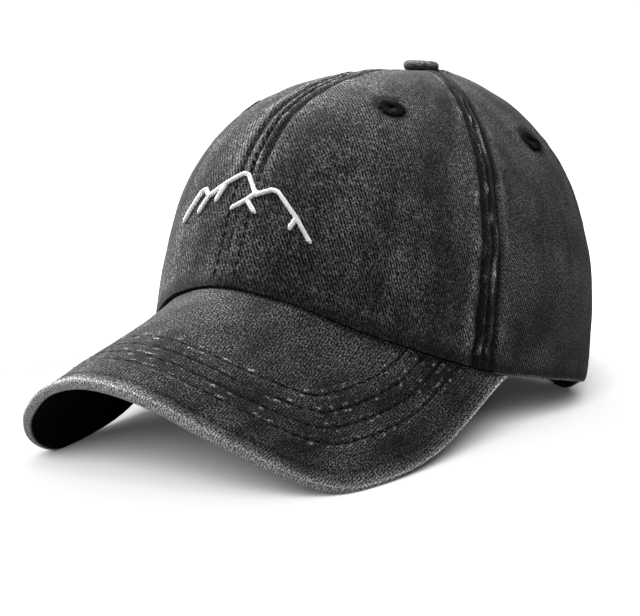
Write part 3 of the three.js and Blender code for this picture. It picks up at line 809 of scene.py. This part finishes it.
def crown_rows():
    """Rows of stitches on both sides of the front, side and back seams."""
    rows = []
    for seam in (0, FRONT_SEAM, -FRONT_SEAM, BACK_SEAM, -BACK_SEAM):
        for side in (-1, 1):
            rise = row_rise(np.linspace(0.03, 0.97, 260)) * rise_at_radius(seam, SEAM_ROW_END)
            angle = seam + side * SEAM_ROW / per_degree(seam, rise)
            points = crown(angle, rise)
            height = crown_relief(angle, rise, points)[0] - slack(points)
            rows.append((on_crown(angle, rise, height + 0.05), crown_normal(angle, rise)))
    return rows


# Brim

def brim_frame(share):
    """Inner and outer points of the brim's underside, and the brim's thickness."""
    angle = share * BRIM_END_ANGLE
    rim = crown(angle, 0 * share)
    flat = crown_normal(angle, 0 * share)
    flat[..., 2] = 0
    inner = rim - unit(flat) * CLOTH
    inner[..., 2] -= BRIM_CLEARANCE
    taper = share ** 8
    size = np.abs(share)
    x = rim[..., 0] + np.sign(share) * BRIM_FLARE * smooth_table(EDGE_SHARES, EDGE_FLARES, size, even=False)
    y = rim[..., 1] - BRIM_REACH * smooth_table(EDGE_SHARES, EDGE_REACHES, size)
    z = rim[..., 2] * smooth_table(EDGE_SHARES, EDGE_LIFTS, size)
    edge = xyz(x, y, z - (BRIM_END_THICKNESS + BRIM_CLEARANCE) * taper)
    thickness = BRIM_THICKNESS + (BRIM_END_THICKNESS - BRIM_THICKNESS) * taper
    return inner, edge, thickness


def brim_normal(share, out):
    step = 0.01
    s = np.clip(share, step - 1, 1 - step)
    inner_a, edge_a, _ = brim_frame(s - step)
    inner_b, edge_b, _ = brim_frame(s + step)
    inner, edge, _ = brim_frame(s)
    across = (inner_b + (edge_b - inner_b) * out) - (inner_a + (edge_a - inner_a) * out)
    return unit(np.cross(edge - inner, across))


def brim_top(share, out):
    """Smooth top face of the brim; out is 0 at the crown and 1 at the edge."""
    inner, edge, thickness = brim_frame(share)
    edge_top = edge + brim_normal(share, 1.0) * thickness[..., None]
    return inner + (edge_top - inner) * out[..., None]


def brim_grid(stations=300, across=140):
    """Grid over the brim's top, closer together at its ends and its edge."""
    share = np.linspace(-1, 1, stations)
    share = 0.6 * share + 0.4 * np.sin(share * np.pi / 2)
    out = 1 - (1 - np.linspace(0, 1, across)) ** 1.15
    s, o = np.meshgrid(share, out, indexing="ij")
    return s, brim_top(s, o)


def edge_distance(points):
    """Distance from points on the brim's top to its outer edge."""
    share = np.linspace(-1, 1, 500)
    edge = brim_top(share, np.ones_like(share))
    flat = points.reshape(-1, 3)
    nearest = np.empty(len(flat))
    for i in range(0, len(flat), 4000):
        part = flat[i:i + 4000]
        nearest[i:i + 4000] = np.linalg.norm(part[:, None] - edge[None], axis=-1).min(1)
    return nearest.reshape(points.shape[:-1])


def brim_relief(share, top, distance):
    """Height of quilting, grooves and edge over the smooth brim, how worn it is, its painted shade in the
    grooves, and how much darker the band of rows is.
    """
    sides = ramp(np.abs(share), 0.3, 0.35)
    pull = 0.65 + 0.5 * noise(top, 5.0, 9.1)
    groove = np.zeros_like(distance)
    beside = np.zeros_like(distance)
    for row in BRIM_ROWS:
        groove += bell(distance - row, SUNK_ROW_WIDTH)
        beside += bell(np.abs(distance - row) - 1.2, 0.6)
    quilted = ramp(distance, BRIM_ROWS[0] - 6, 6)
    creases = noise(top * (1.0, 0.45, 1.0), 1.9, 6.0) * bell(distance - 24, 9)
    height = 0.22 * noise(top, 14, 4.4) + 0.08 * noise(top, 5, 2.2)
    height += 0.3 * quilted - 0.3 * groove * pull + (0.08 + 0.22 * sides) * creases
    height += 0.3 * bell(distance - 1.6, 1.9) - 0.3 * bell(distance - 5.0, 0.9)
    right_end = ramp(share, 0.45, 0.3)
    flecks = 1.6 * np.clip(noise(top, 1.1, 2.0) * 2.6 - 0.8, 0, 1) * np.clip(beside, 0, 1)
    wear = (0.85 + 0.2 * right_end) * bell(distance, 1.8 - 0.7 * right_end) + 0.3 * bell(distance, 3.6)
    wear += 0.08 * bell(distance - 66, 22) + flecks
    between = np.clip(1 - np.abs(distance - 22) / 16, 0, 1)
    # Painted shade in the sunk rows and in the groove behind the edge; the band of rows is darker as well.
    dark = np.clip(0.8 * groove * pull + 0.4 * between + 0.3 * bell(distance - 5.6, 1.0), 0, 1)
    return height * ramp(1 - np.abs(share), 0, 0.06), wear, dark


def brim_rolls(upper, outward, edge_line):
    """Rounded edge between the outer points of the top and of the underside, with its length outwards."""
    turn = np.linspace(0.5, -0.5, ROLL_POINTS + 2)[None, :, None] * np.pi
    centre = 0.5 * (upper + edge_line)[:, None]
    half = 0.5 * (upper - edge_line)[:, None]
    bulge = 0.55 * np.linalg.norm(half, axis=-1, keepdims=True)
    roll = centre + half * np.sin(turn) + outward[:, None] * bulge * np.cos(turn)
    return roll[:, 1:-1], travelled(roll)[:, 1:-1]


def brim_stitch_rows(share, upper, normals, distance):
    """Rows of stitches at fixed distances from the edge; they sink in at the middle of the brim."""
    raised = 0.1 * ramp(share, 0.2, 0.3) - 0.12 * bell(share - 0.1, 0.3)
    rows = []
    for row in BRIM_ROWS:
        line, facing = [], []
        for i in range(len(distance)):
            d = distance[i]
            if d[0] <= row:
                continue
            k = int(np.argmax(d < row))
            t = (d[k - 1] - row) / (d[k - 1] - d[k])
            line.append(upper[i, k - 1] + (upper[i, k] - upper[i, k - 1]) * t + normals[i, k] * raised[i])
            facing.append(normals[i, k])
        rows.append((np.array(line), np.array(facing)))
    return rows


def brim_piece():
    """Brim as loops round its section: top, rolled edge and underside. Returns its stitch rows."""
    s, top = brim_grid()
    n, m = s.shape
    outward = np.gradient(top, axis=1)
    normals = unit(np.cross(outward, np.gradient(top, axis=0)))
    distance = edge_distance(top)
    height, worn, dark = brim_relief(s, top, distance)
    inner_line, edge_line, thickness = brim_frame(s[:, 0])
    inner_bottom = inner_line - brim_normal(s[:, 0], 0.0) * thickness[:, None]
    under_share = np.linspace(1, 0, UNDER_POINTS)[None, :, None]
    under = inner_bottom[:, None] + (edge_line - inner_bottom)[:, None] * under_share
    upper = top + normals * height[..., None]
    roll, roll_length = brim_rolls(upper[:, -1], unit(outward[:, -1]), edge_line)
    loops = np.concatenate([upper, roll, under], 1)
    size = m + ROLL_POINTS + UNDER_POINTS
    is_under = np.zeros((n, size))
    is_under[:, m + ROLL_POINTS:] = 1
    under_wear = 1.5 * bell(np.linalg.norm(under - edge_line[:, None], axis=-1), 0.6)
    # Worn edge with painted light, paler towards the underside.
    roll_wear_and_light = np.tile(ROLL_WEAR_AND_LIGHT, (n, 1))
    depth = np.concatenate([upper[..., 1], upper[:, -1:, 1] - roll_length, under[..., 1]], 1)
    around = 85 * np.arctan2(loops[..., 0], loops[..., 2] + 30)
    weave = xyz(around, depth, WEAVE_BRIM_UNDER * is_under)
    attributes = {
        "weave": weave.reshape(-1, 3),
        "wear": np.concatenate([worn, roll_wear_and_light, under_wear], 1).ravel(),
        # Painted shade: the top's from its relief, none on the roll, full on the underside.
        "shade": np.concatenate([dark, 0 * roll_wear_and_light, np.ones_like(under_wear)], 1).ravel(),
    }
    faces = tube_faces(n, size)[:, ::-1]
    piece = make_object("cloth_brim", loops.reshape(-1, 3), faces, brim_cloth, attributes)
    piece.data.materials.append(under_cloth_painted_shade)
    below = is_under.ravel()[faces].min(1) > 0.5
    piece.data.polygons.foreach_set("material_index", below.astype(np.int32))
    dress(piece, "brim_twill", "brim")
    return brim_stitch_rows(s[:, 0], upper, normals, distance)


# Bindings of the two openings

def find_on_back(x, z):
    """Angle and rise of the points on the back of the crown with the given x and z."""
    rise = np.clip(rise_at_height(180.0, z), 0.002, 0.96)
    reach = np.maximum(crown(90.0, rise)[..., 0], 1.0)
    angle = 180 - np.degrees(np.arcsin(np.clip(x / reach, -0.97, 0.97)))
    for _ in range(14):
        here = crown(angle, rise)
        turn, climb = 0.05, 0.0005
        by_angle = (crown(angle + turn, rise) - here) / turn
        by_rise = (crown(angle, rise + climb) - here) / climb
        ex, ez = x - here[..., 0], z - here[..., 2]
        det = by_angle[..., 0] * by_rise[..., 2] - by_rise[..., 0] * by_angle[..., 2]
        det = np.where(np.abs(det) < 1e-6, 1e-6, det)
        da = (ex * by_rise[..., 2] - ez * by_rise[..., 0]) / det
        dr = (ez * by_angle[..., 0] - ex * by_angle[..., 2]) / det
        angle = np.clip(angle + np.clip(da, -8, 8), 95, 265)
        rise = np.clip(rise + np.clip(dr, -0.08, 0.08), 0, 0.985)
    return angle, rise


def band(node_name, outlines, width, top, closed):
    """Folded tape along an outline: rounded over both faces, with two sunk rows of stitches."""
    edge = 0.09 * width
    w = np.concatenate([[0, 0.25 * edge], np.linspace(edge, width - edge, 23), [width - 0.25 * edge, width]])
    middle = len(w) // 2
    rows_at = (0.16 * width, 0.84 * width)
    sunk = sum(bell(w - row, SUNK_ROW_WIDTH) for row in rows_at)
    lift = np.full_like(w, top)
    lift[[0, -1]] = 0.35 * top
    lift[[1, -2]] = 0.8 * top
    lift -= 0.4 * sunk
    outline = np.stack([outlines(value) for value in w], 1)
    angle, rise = find_on_back(outline[..., 0], outline[..., 1])
    base = crown(angle, rise)
    wave = 0.12 * noise(base, 4.5, 7.7) + 0.1 * noise(base, 2.2, 3.3)
    upper = on_crown(angle, rise, lift[None] + wave)
    lower = on_crown(angle, rise, -CLOTH - BINDING_INSIDE)
    loops = np.concatenate([upper, lower[:, ::-1]], 1)
    n, size = loops.shape[:2]
    weave = xyz(travelled(upper[:, middle])[:, None], w[None], WEAVE_BINDING)
    worn = 1.3 * (bell(w - 0.5, 0.7) + bell(w - width + 0.5, 0.7))
    worn += 0.4 * (bell(w - rows_at[0] - 1.3, 0.6) + bell(w - rows_at[1] + 1.3, 0.6))
    attributes = {
        "weave": np.concatenate([weave, weave[:, ::-1]], 1).reshape(-1, 3),
        "wear": np.tile(np.concatenate([worn, 0 * worn]), n),
        # Painted shade in the sunk rows outside and over the whole inner face.
        "shade": np.tile(np.concatenate([0.8 * sunk, 0 * sunk + INNER_SHADE]), n),
    }
    faces = tube_faces(n, size, closed)[:, ::-1]
    piece = make_object(f"cloth_{node_name}", loops.reshape(-1, 3), faces, tape_cloth, attributes)
    dress(piece, "binding_twill", node_name)
    rows = []
    for row in rows_at:
        k = int(np.argmin(np.abs(w - row)))
        facing = crown_normal(angle[:, k], rise[:, k])
        line = upper[:, k] + facing * 0.1
        if closed:
            line = np.concatenate([line, line[:1]])
            facing = np.concatenate([facing, facing[:1]])
        rows.append((line, facing))
    return rows


# Sweatband, strap, buckle, button, eyelets

def back_angle(distance):
    """Angle on the back of the crown at a distance to the wearer's left of its middle."""
    return 180 - math.degrees(math.asin(distance / CROWN_HALF_WIDTH))


STRAP_END = back_angle(ARCH_HALF_WIDTH + STRAP_TUCK)
STRAP_BOTTOM = BUCKLE_WIRE + GAP
STRAP_TOP = STRAP_BOTTOM + STRAP_HEIGHT
TAB_DEPTH = CLOTH + GAP
STRAP_DEPTH = TAB_DEPTH + STRAP_CLOTH + GAP
BUCKLE_ANGLE = 360 - back_angle(BUCKLE_OFFSET)
BUCKLE_RISE = float(rise_at_height(BUCKLE_ANGLE, 0.5 * (STRAP_BOTTOM + STRAP_TOP)))
BUCKLE_SPAN = (0.5 * BUCKLE_WIDTH + BUCKLE_CLEARANCE) / float(per_degree(BUCKLE_ANGLE, BUCKLE_RISE))


def crown_band(name, angles, low, high, depth, thick, material, row, count=24, drop=0.0):
    """Closed band that follows the crown at a depth under its face, with rounded edges.

    Rows of stitches run at the distance row from both edges. The lower edge drops beside the brim."""
    share = np.linspace(0, 1, count)
    rise = low[:, None] + (high - low)[:, None] * share[None]
    angle = np.repeat(angles[:, None], count, 1)
    points = crown(angle, rise)
    normals = crown_normal(angle, rise)
    climb = travelled(points)
    total = climb[:, -1:]
    edge = np.minimum(climb, total - climb)
    rounding = 0.35 * thick * bell(edge, 0.5 * thick)
    sunk = bell(edge - row, SUNK_ROW_WIDTH)
    wave = 0.12 * noise(points, 7, 5.0)
    outer = points + normals * (-depth - rounding - 0.28 * sunk + wave)[..., None]
    inner = points + normals * (-depth - thick + rounding + wave)[..., None]
    over_brim = ramp(BRIM_END_ANGLE - 1 - folded(angles), 0, 6)
    lowered = drop * over_brim[:, None] * bell(share, 0.08)[None]
    outer[..., 2] -= lowered
    inner[..., 2] -= lowered
    vertices, faces, used = shell(outer, inner)
    travel = (angle - angles[0]) * per_degree(angle, np.maximum(rise, 0.02))
    weave = xyz(climb, travel, WEAVE_BAND)
    worn = 0.8 * bell(edge, 0.8) + 0.2 * bell(edge - 4, 1.5)
    # Painted shade in the sunk rows, on both faces.
    attributes = two_faces(used, weave, worn, 0.6 * worn, 0.8 * sunk, 0.8 * sunk)
    piece = make_object(name, vertices, faces, material, attributes)
    columns = [int(np.argmin(np.abs(climb[0] - at))) for at in (row, total[0, 0] - row)]
    return piece, [(outer[:, k] + normals[:, k] * 0.08, normals[:, k]) for k in columns]


def strap_piece(node_name, start, count, depth):
    """Strap or its tab, from an angle to the end on the wearer's right; returns its stitch rows."""
    angles = np.linspace(start, 360 - STRAP_END, count)
    low = rise_at_height(angles, STRAP_BOTTOM)
    high = rise_at_height(angles, STRAP_TOP)
    name = f"cloth_{node_name}"
    piece, rows = crown_band(name, angles, low, high, depth, STRAP_CLOTH, tape_cloth, STRAP_ROW)
    dress(piece, "strap_twill", node_name)
    return rows


def sweatband():
    """Band inside the rim, open behind; returns its stitch rows."""
    end = STRAP_END - 1
    angles = np.linspace(-end, end, 260)
    high = rise_at_height(angles, rim_height(angles) + SWEATBAND_HEIGHT)
    piece, rows = crown_band("cloth_sweatband", angles, 0 * angles, high, CLOTH + GAP, SWEATBAND_CLOTH,
                             band_cloth, SWEATBAND_ROW, 20, SWEATBAND_DROP)
    dress(piece, "sweatband_cotton", "sweatband")
    return rows


def rod(path, radius, sides=12, closed=False, flat=(1.0, 1.0), guide=(0, 0, 1)):
    """Tube along a path; flat scales its section across and along the guide."""
    path = np.asarray(path, float)
    ahead = np.roll(path, -1, 0) - np.roll(path, 1, 0)
    if not closed:
        ahead[0], ahead[-1] = path[1] - path[0], path[-1] - path[-2]
    ahead = unit(ahead)
    guide = np.asarray(guide, float) - ahead * (ahead @ np.asarray(guide, float))[:, None]
    guide = unit(guide)
    across = np.cross(ahead, guide)
    turn = np.linspace(0, 2 * np.pi, sides, endpoint=False)
    ring = (path[:, None] + across[:, None] * (radius * flat[0] * np.cos(turn))[None, :, None]
            + guide[:, None] * (radius * flat[1] * np.sin(turn))[None, :, None])
    return ring.reshape(-1, 3), tube_faces(len(path), sides, closed)


def buckle():
    """Slide buckle: a round-wire frame in front of the strap and a bar behind it."""
    half_width = 0.5 * (BUCKLE_WIDTH - BUCKLE_WIRE)
    half_height = 0.5 * STRAP_HEIGHT + GAP + 0.5 * BUCKLE_WIRE
    corner = 2.4
    front = GAP + 0.5 * BUCKLE_WIRE
    back = -STRAP_CLOTH - GAP - 0.5 * BUCKLE_WIRE
    turn = np.linspace(0, np.pi / 2, 8)
    path = []
    for quarter, (sx, sy) in enumerate(((1, 1), (-1, 1), (-1, -1), (1, -1))):
        angle = turn + quarter * np.pi / 2
        x = sx * (half_width - corner) + corner * np.cos(angle)
        y = sy * (half_height - corner) + corner * np.sin(angle)
        path.append(xyz(x, y, front))
    t = np.linspace(0, 1, 12)
    climb = xyz(0, half_height, front + (back - front) * t)
    bar = xyz(0, half_height * (1 - 2 * t), back)
    line = np.concatenate([climb[:-1], bar, climb[::-1][1:] * (1, -1, 1)])
    vertices, faces = merge([
        rod(np.concatenate(path), 0.5 * BUCKLE_WIRE, 14, True, (1.0, 0.9)),
        rod(line, 0.46 * BUCKLE_WIRE, 12, False, (1, 1), guide=(1, 0, 0)),
    ])
    axes = directions(BUCKLE_ANGLE, BUCKLE_RISE)
    world = crown(BUCKLE_ANGLE, BUCKLE_RISE) - axes[2] * STRAP_DEPTH + vertices @ axes
    dress(make_object("metal_buckle", world, faces, metal), "buckle_metal", "buckle")


def button(rings=40, sides=96):
    """Cloth-covered button, a flat pill on a narrower neck that leans to the wearer's left."""
    knots = np.arange(len(BUTTON_LEVELS))
    fine = np.linspace(0, knots[-1], rings)[:, None]
    heights = np.interp(fine, knots, BUTTON_LEVELS) * BUTTON_HEIGHT
    radii = np.interp(fine, knots, BUTTON_WIDTHS) * BUTTON_RADIUS
    turn = np.linspace(0, 2 * np.pi, sides, endpoint=False)[None]
    radii = radii * (1 + 0.02 * np.cos(9 * turn + 2 * np.sin(2 * turn)) * bell(heights - 0.6, 1.2))
    points = xyz(radii * np.cos(turn), radii * np.sin(turn), heights).reshape(-1, 3)
    points[:, 2] += 0.12 * noise(points, 3.5, 2.0)
    x, y, z = points.T
    level = np.repeat(heights / BUTTON_HEIGHT, sides)
    attributes = {
        "weave": xyz(1.3 * z + 0.35 * x, x + y, WEAVE_BUTTON),
        "wear": 0.5 * bell(level - 0.75, 0.18) + 0.15,
        # Painted shade round the button's foot, where it meets the crown.
        "shade": 0.7 * bell(level, 0.25),
    }
    c, s = math.cos(math.radians(BUTTON_LEAN)), math.sin(math.radians(BUTTON_LEAN))
    foot = (0, CAP_SHIFT, button_high[2] / MM - BUTTON_HEIGHT)
    world = xyz(x * c + z * s, y, z * c - x * s) + foot
    faces = tube_faces(rings, sides)[:, ::-1]
    dress(make_object("cloth_button", world, faces, crown_cloth, attributes), "crown_twill", "button")


def eyelet(name, angle, rise):
    """Worked eyelet: a ring of satin stitches round a small hole."""
    stations, threads = 264, 44
    turn = np.linspace(0, 2 * np.pi, stations, endpoint=False)
    bounds = (EYELET_HOLE, 1.1, 1.6, 2.7, 3.8, 4.6, EYELET_RADIUS, EYELET_RADIUS, 3.6, 2.4)
    lifts = (-CLOTH, -0.1, 0.35, 0.55, 0.6, 0.45, 0.0, -0.6, -0.9, -CLOTH)
    rng = np.random.default_rng(int(abs(angle) * 10) + (3 if angle < 0 else 0))
    jitter = np.repeat(rng.uniform(-0.45, 0.35, threads), stations // threads)
    groove = np.abs(np.sin(0.5 * threads * turn))
    loops = []
    for k, (radius, lift) in enumerate(zip(bounds, lifts)):
        free = 1.0 if 2 <= k <= 6 else 0.0
        r = radius + free * jitter * (radius / EYELET_RADIUS)
        h = lift + free * 0.22 * (groove - 1) - 0.004 * r * r
        loops.append(xyz(r * np.cos(turn), r * np.sin(turn), h))
    local = np.stack(loops, 1).reshape(-1, 3)
    centre = crown(angle, rise)
    axes = directions(angle, rise)
    world = centre + axes[2] * float(slack(centre)) + local @ axes
    faces = tube_faces(stations, len(loops), closed=True)
    dress(make_object(f"thread_eyelet_{name}", world, faces, dark_thread), "dark_thread", f"eyelet_{name}")


# Embroidery

FRONT_REACH = 40
UPS_PER_MM = 4


def front_rises():
    """Rises on the front of the crown: a row to each degree, with entries by distance above the rim."""
    angles = np.linspace(-FRONT_REACH, FRONT_REACH, 2 * FRONT_REACH + 1)
    rises = np.linspace(0, 0.5, 801)
    ups = np.linspace(0, 60, 60 * UPS_PER_MM + 1)
    rows = travelled(crown(angles[:, None], rises[None, :]))
    return np.stack([np.interp(ups, row, rises) for row in rows])


def look_up(table, angle, up):
    """Rise between the entries of the table above."""
    a = np.clip(angle + FRONT_REACH, 0, table.shape[0] - 1.001)
    u = np.clip(up * UPS_PER_MM, 0, table.shape[1] - 1.001)
    i, j = a.astype(int), u.astype(int)
    fa, fu = a - i, u - j
    low = table[i, j] * (1 - fu) + table[i, j + 1] * fu
    high = table[i + 1, j] * (1 - fu) + table[i + 1, j + 1] * fu
    return low * (1 - fa) + high * fa


def satin_stroke(start, end, table, per, rng):
    """Straight stroke of threads side by side, between two places in millimetres over the rim's middle."""
    length = np.linalg.norm(end - start)
    ahead = (end - start) / length
    side = np.array([-ahead[1], ahead[0]])
    s = np.arange(-0.4 * THREAD_WIDTH, length + 0.4 * THREAD_WIDTH, SATIN_STEP)
    number = np.floor(s / SATIN_PITCH).astype(int)
    number -= number.min()
    spread = 1 + rng.uniform(-0.1, 0.1, number.max() + 1)[number]
    tips = np.clip(np.minimum(s - s[0], s[-1] - s) / (0.5 * THREAD_WIDTH), 0.25, 1) ** 0.5
    w = np.linspace(-1, 1, 11)
    dome = np.sqrt(np.clip(1 - 0.96 * w ** 2, 0, 1))
    half = 0.5 * THREAD_WIDTH * (spread * tips)[:, None] * w[None]
    flat = start + s[:, None, None] * ahead + half[..., None] * side + 0.25 * w[None, :, None] * ahead
    ridge = np.abs(np.sin(np.pi * (s / SATIN_PITCH)))[:, None]
    lift = THREAD_RAISE * dome[None] * (0.78 + 0.22 * ridge) * tips[:, None] + 0.15
    angle = flat[..., 0] / per
    rise = look_up(table, angle, flat[..., 1])
    loops = np.concatenate([on_crown(angle, rise, lift + 0.25), on_crown(angle, rise, -0.1)[:, ::-1]], 1)
    return loops.reshape(-1, 3), tube_faces(*loops.shape[:2])


def embroidery():
    """Ridge line in satin stitch on the front panels."""
    table = front_rises()
    per = float(per_degree(5.0, 0.12))
    rng = np.random.default_rng(21)
    parts = []
    for stroke in RIDGE_STROKES:
        corners = np.array([(a * RIDGE_HALF_WIDTH, RIDGE_BASE + u * RIDGE_HEIGHT) for a, u in stroke])
        for start, end in zip(corners[:-1], corners[1:]):
            parts.append(satin_stroke(start, end, table, per, rng))
    vertices, faces = merge(parts)
    piece = make_object("thread_mountain", vertices, faces[:, ::-1], white_thread)
    dress(piece, "white_thread", "mountain_embroidery")


crown_panels()
stitch_rows = crown_rows()
brim_rows = brim_piece()
stitch_rows += band("binding_slot", teardrop, SLOT_BINDING, SLOT_BINDING_RAISE, True)
stitch_rows += band("binding_half_moon", arch, ARCH_BINDING, ARCH_BINDING_RAISE, False)
stitch_rows += strap_piece("strap", STRAP_END, 150, STRAP_DEPTH)
stitch_rows += strap_piece("strap_tab", BUCKLE_ANGLE + BUCKLE_SPAN, 40, TAB_DEPTH)
stitch_rows += sweatband()
buckle()
button()
for eyelet_place in eyelet_places():
    eyelet(*eyelet_place)
embroidery()
dress(make_object("thread_seam_stitches", *sew(stitch_rows), dark_thread), "dark_thread")
brim_stitches = sew(brim_rows, BRIM_STITCH_LENGTH, BRIM_STITCH_PITCH, BRIM_STITCH_RADIUS, loose=1.0)
dress(make_object("thread_brim_stitches", *brim_stitches, dark_thread), "dark_thread")


# Floor, light and camera

def direction(azimuth, elevation):
    """From the cap towards an azimuth and elevation in degrees; azimuth 0 is straight before the brim."""
    a, e = math.radians(azimuth), math.radians(elevation)
    return Vector((math.sin(a) * math.cos(e), -math.cos(a) * math.cos(e), math.sin(e)))


def seen_by_camera(tree):
    return node(tree, "ShaderNodeLightPath").outputs["Is Camera Ray"]


def studio_world():
    """White as seen; as light it is dim on the right of the picture and softer on the left."""
    world = bpy.data.worlds.new("studio")
    world.use_nodes = True
    tree = world.node_tree
    way = node(tree, "ShaderNodeTexCoord").outputs["Generated"]
    a = math.radians(CAMERA_AZIMUTH)
    across = {0: way, 1: (math.cos(a), math.sin(a), 0)}
    rightward = node(tree, "ShaderNodeVectorMath", across, operation="DOT_PRODUCT").outputs["Value"]
    right_side = spread_map(tree, rightward, *RIGHT_LIGHT)
    left_side = spread_map(tree, rightward, *LEFT_LIGHT)
    lighting = times(tree, right_side, left_side)
    strength = maths(tree, "MAXIMUM", lighting, times(tree, seen_by_camera(tree), 1.1))
    background = tree.nodes["Background"]
    background.inputs["Color"].default_value = (1, 1, 1, 1)
    tree.links.new(strength, background.inputs["Strength"])
    bpy.context.scene.world = world


def stage():
    """Wide white floor that sends little light back up under the cap and glows away from it."""
    corners = [(x * FLOOR_HALF, y * FLOOR_HALF, 0) for x, y in ((-1, -1), (1, -1), (1, 1), (-1, 1))]
    mesh = bpy.data.meshes.new("floor")
    mesh.from_pydata(corners, [], [(0, 1, 2, 3)])
    matt = {"Roughness": 0.9, "Specular IOR Level": 0.0, "Emission Color": (1, 1, 1, 1)}
    material, tree, shader = new_material("floor_white", matt)
    seen = seen_by_camera(tree)
    place = node(tree, "ShaderNodeTexCoord").outputs["Object"]
    ends = {0: place, 1: GLOW_CENTRE}
    away = node(tree, "ShaderNodeVectorMath", ends, operation="DISTANCE").outputs["Value"]
    glow = times(tree, seen, spread_map(tree, away, GLOW_START, GLOW_FULL))
    tree.links.new(glow, shader.inputs["Emission Strength"])
    tree.links.new(mix_colour(tree, seen, grey(FLOOR_LIT), grey(FLOOR_SEEN)), shader.inputs["Base Color"])
    mesh.materials.append(material)
    floor = bpy.data.objects.new("floor", mesh)
    bpy.context.collection.objects.link(floor)
    return floor


def soft_light(floor, name, azimuth, elevation, distance, size, power, floor_state):
    """Round area light aimed at the cap, in metres and watts; it lights the floor alone, or leaves it out."""
    data = bpy.data.lights.new(name, "AREA")
    data.shape = "DISK"
    data.size = size
    data.energy = power
    lamp = bpy.data.objects.new(name, data)
    back = direction(azimuth, elevation)
    lamp.location = Vector((0, 0, AIM_HEIGHT)) + back * distance
    lamp.rotation_euler = back.to_track_quat("Z", "Y").to_euler()
    bpy.context.collection.objects.link(lamp)
    lit = bpy.data.collections.new(f"lit_by_{name}")
    lit.objects.link(floor)
    lit.collection_objects[0].light_linking.link_state = floor_state
    lamp.light_linking.receiver_collection = lit


def camera():
    """Camera at the photo's viewing angle, turned a little about its own axis."""
    back = direction(CAMERA_AZIMUTH, CAMERA_ELEVATION)
    target = Vector(CAMERA_TARGET) + Vector((0, CAP_SHIFT, 0))
    data = bpy.data.cameras.new("camera")
    data.sensor_width = SENSOR_WIDTH
    data.lens = FOCAL_PIXELS * SENSOR_WIDTH / PHOTO_WIDTH
    data.clip_start = 0.01
    eye = bpy.data.objects.new("camera", data)
    turn = back.to_track_quat("Z", "Y").to_matrix() @ Matrix.Rotation(math.radians(CAMERA_ROLL), 3, "Z")
    eye.matrix_world = Matrix.Translation((target + back * CAMERA_DISTANCE) * MM) @ turn.to_4x4()
    bpy.context.collection.objects.link(eye)
    bpy.context.scene.camera = eye


studio_world()
white_floor = stage()
for light in LIGHTS:
    soft_light(white_floor, *light)
camera()
bpy.context.scene.view_settings.view_transform = "Standard"
